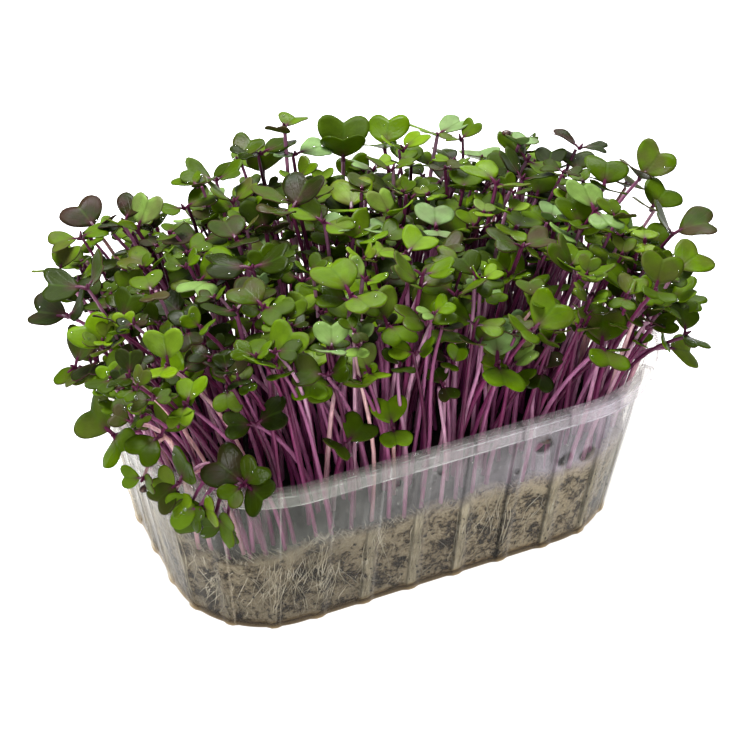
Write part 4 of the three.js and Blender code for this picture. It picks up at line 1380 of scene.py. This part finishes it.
def makePunnetPiece():
    wall, flange, skirt = punnet["wall"], punnet["flange"], punnet["skirt"]
    corner, height = punnet["cornerRadius"], punnet["height"]
    mouth = corner - flange
    fillet = punnet["footFillet"]

    def footRings(reach, bend, lift, turns):
        # The rounded foot, from the floor to the wall or back.
        return [(1, reach - bend + bend * math.sin(turn), lift + bend * (1 - math.cos(turn)),
                 smoothStep(0.3, 1, math.sin(turn))) for turn in np.radians(turns)]

    # Rings of (spine scale, radius, height, flute share), from the middle of the underside, up the outside
    # and down the inside to the middle of the floor. A fifth number marks an edge painted with a thin
    # highlight line, and how bright it is.
    rings = [(0, 0, 0, 0), (1, 0, 0, 0), (1, footRadius - fillet - 3, 0, 0)]
    rings += footRings(footRadius, fillet, 0, np.linspace(0, 90, 6))
    rings += [(1, wallAt(high)[0], high, 1) for high in np.linspace(wallFoot + 4, wallHead, 9)]
    rings += [(1, mouth, height - wall - 1.2, 0), (1, mouth + 0.35, height - wall - 0.3, 0),
              (1, mouth + 1, height - wall, 0), (1, corner - wall - 0.7, height - wall, 0),
              (1, corner - wall - 0.15, height - wall - 0.2, 0), (1, corner - wall, height - wall - 0.8, 0),
              (1, corner - wall - 0.2, height - skirt, 0, 0.6), (1, corner, height - skirt, 0, 1),
              (1, corner, height - skirt + 0.5, 0, 0.7), (1, corner, height - skirt + 0.75, 0),
              (1, corner, height - 1.5, 0), (1, corner, height - 1.1, 0, 1),
              (1, corner - 0.1, height - 0.75, 0, 0.1), (1, corner - 0.3, height - 0.35, 0, 0.1),
              (1, corner - 0.6, height - 0.1, 0, 1), (1, corner - 1.0, height, 0, 0.4),
              (1, corner - 1.5, height, 0), (1, mouth + 0.6, height, 0),
              (1, mouth - 0.1, height - 0.25, 0, 0.25), (1, mouth - 0.7, height - 1.2, 0)]
    rings += [(1, wallAt(high)[0] - wall, high, 1) for high in np.linspace(wallHead, wallFoot + 4, 9)]
    rings += footRings(footRadius - wall, fillet - 0.2, wall, np.linspace(90, 0, 6))
    rings += [(1, footRadius - fillet - 3, wall, 0), (1, 0, wall, 0), (0, 0, wall, 0)]

    def shape(ring, distance):
        scale, radius, high, share = ring[:4]
        depth = wallAt(min(max(high, wallFoot), wallHead))[1]
        return scale, radius + fluteCrest(distance) * depth * float(share), high

    count = punnet["flutes"] * punnet["perPitch"]
    piece = wrapGrid("fine_punnet", rings, count, shape)
    distance = stationsRound(count)[0]
    crest = fluteCrest(distance)
    flankLightShade = 4 * crest * (1 - crest)
    vary = np.abs(np.sin(np.floor(distance / flutePitch) * 1.7 + 0.5))
    # Painted light and shade: one flank of each flute is painted darker and the other lighter, the darker
    # flanks most towards the right end.
    shaded = mix(0.4, 1.0, smoothStep(-60, 15, stationsRound(count)[1]))
    turns = np.where(np.gradient(crest) > 0, shaded * (-0.55 - 0.45 * vary), 0.35 + 0.65 * vary)
    # How bright each ring's painted highlight line is.
    highlightEdges = np.repeat([ring[4] if len(ring) > 4 else 0 for ring in rings], count + 1)
    setAttribute(piece.data, "edge", highlightEdges)
    setAttribute(piece.data, "flankLightShade", np.tile(flankLightShade * turns, len(rings)))
    closeSeams(piece)
    smoothFaces(piece, 50)
    piece.data.materials.append(makeClearPet())
    onRoot(piece, "punnet", slot="clear_plastic")


def makeClearPet():
    # Thermoformed PET: clear and glossy. Fine condensation greys it above the medium, its bent edges carry
    # painted highlights as thin broken white lines, and the thicker rim looks milky.
    material, addNode = newMaterial("thermoformed clear PET")
    spot = addNode("TexCoord", []).outputs["Object"]
    place = addNode("SeparateXYZ", [spot])
    mist = addNode("TexNoise", {"Vector": spot, "Scale": 1 / (16 * mm), "Detail": 4})
    stretch = addNode("Mapping", {"Vector": spot, "Scale": (1, 1, 0.1)})
    runs = addNode("TexNoise", {"Vector": stretch, "Scale": 1 / (2.8 * mm), "Detail": 4})
    beads = addNode("TexVoronoi", {"Vector": spot, "Scale": 1 / (1.3 * mm), "Randomness": 1})
    patches = addNode("MapRange", [mist, 0.35, 0.65, 0.05, 0.1])
    streaks = addNode("MapRange", [runs, 0.35, 0.65, 0.6, 1.45])
    speckle = addNode("MapRange", [beads.outputs["Distance"], 0.1, 0.7, 1.06, 0.95])
    # The mist thickens towards the right end, and where the wet medium touches the wall there is none.
    towardsEnd = addNode("MapRange", [place.outputs["X"], -60 * mm, 100 * mm, 0.46, 2.15])
    low = addNode("MapRange", [place.outputs["Z"], 33 * mm, 43 * mm, 0.08, 1])
    fog = addNode("MapRange", [place.outputs["Z"], 42 * mm, 55 * mm, 1.35, 1.0])
    walls = patches
    clearings = []
    for distance, high, radius in washed:
        middle = againstWall([distance], [high], 0)[0] * mm
        away = addNode("VectorMath", [spot, middle], operation="DISTANCE")
        clearings.append(addNode("MapRange", [away, 0.75 * radius * mm, radius * mm, 0.05, 1.0]))
    for factor in (streaks, speckle, towardsEnd, low, fog, *clearings):
        walls = addNode("Math", [walls, factor], operation="MULTIPLY")
    rim = addNode("MapRange", [place.outputs["Z"], 65.2 * mm, 66 * mm, 0, 0.02])
    # Painted highlights: thin broken white lines along the marked edges of the rim and skirt.
    edge = addNode("Attribute", [], attribute_name="edge")
    flatten = addNode("Mapping", {"Vector": spot, "Scale": (0.12, 0.12, 0.7)})
    glints = addNode("TexNoise", {"Vector": flatten, "Scale": 1 / (0.8 * mm), "Detail": 2})
    broken = addNode("MapRange", [glints, 0.36, 0.64, 0.1, 0.34])
    edgeHighlightLines = addNode("Math", [edge.outputs["Fac"], broken], operation="MULTIPLY")
    # Painted light and shade: the flutes' flanks are lightened on one side and darkened on the other.
    flankLightShade = addNode("Attribute", [], attribute_name="flankLightShade")
    flankHighlight = addNode("MapRange", [flankLightShade.outputs["Fac"], 0.5, 1.0, 0, 0.26])
    flankShade = addNode("MapRange", [flankLightShade.outputs["Fac"], -0.3, -1.0, 1, 0.35])
    haze = addNode("Math", [walls, flankShade], operation="MULTIPLY")
    for extra in (rim, edgeHighlightLines, flankHighlight):
        haze = addNode("Math", [haze, extra], operation="ADD")
    paintedHighlights = addNode("Math", [edgeHighlightLines, flankHighlight], operation="ADD")
    rightward = addNode("MapRange", [place.outputs["X"], -60 * mm, 60 * mm])
    fogColour = addNode("Mix", {0: rightward, 6: "#bfc2b6", 7: "#dad0de"}, data_type="RGBA")
    silty = addNode("Mix", {0: low, 6: "#b09d7a", 7: fogColour}, data_type="RGBA")
    milkColour = addNode("Mix", {0: paintedHighlights, 6: silty, 7: "#ffffff"}, data_type="RGBA")
    # Root stain and silt colour the corner round the foot, and a painted contact shadow darkens it most where
    # it meets the table.
    nearTable = addNode("MapRange", [place.outputs["Z"], 0, 5 * mm])
    siltAndContactShadow = addNode("ValToRGB", [nearTable], stops=[
        (0.0, "#5f5341"), (0.14, "#a08f72"), (0.28, "#cdbfa4"), (0.75, "#dfd7c8"), (1.0, "#f3f2f0")])
    tint = addNode("VectorMath", [siltAndContactShadow, flankShade], operation="MULTIPLY")
    clear = addNode("BsdfTransparent", {"Color": tint})
    milky = addNode("BsdfDiffuse", {"Color": milkColour})
    body = addNode("MixShader", [haze, clear, milky])
    # Reflection after Schlick, alike on both faces of the thin wall.
    facing = addNode("LayerWeight", {"Blend": 0.5})
    grazing = addNode("Math", [facing.outputs["Facing"], 5], operation="POWER")
    fresnel = addNode("MapRange", [grazing, 0, 1, 0.014, 0.34])
    shine = addNode("BsdfGlossy", {"Color": "#ffffff", "Roughness": 0.06})
    both = addNode("MixShader", [fresnel, body, shine])
    addNode("OutputMaterial", [both])
    return material


setStudio()
print("studio set")
leafSpots = growStand()
print("seedlings grown")
scatterWater(leafSpots)
dropSeedCoats(leafSpots)
print("water and seed coats placed")
makeMediumPiece()
print("medium laid")
underRoll = dice(roots["seed"])
layRoots(underRoll)
layHairs(underRoll)
scatterCrumbs(underRoll)
print("roots and crumbs laid")
makePunnetPiece()
print("punnet formed")
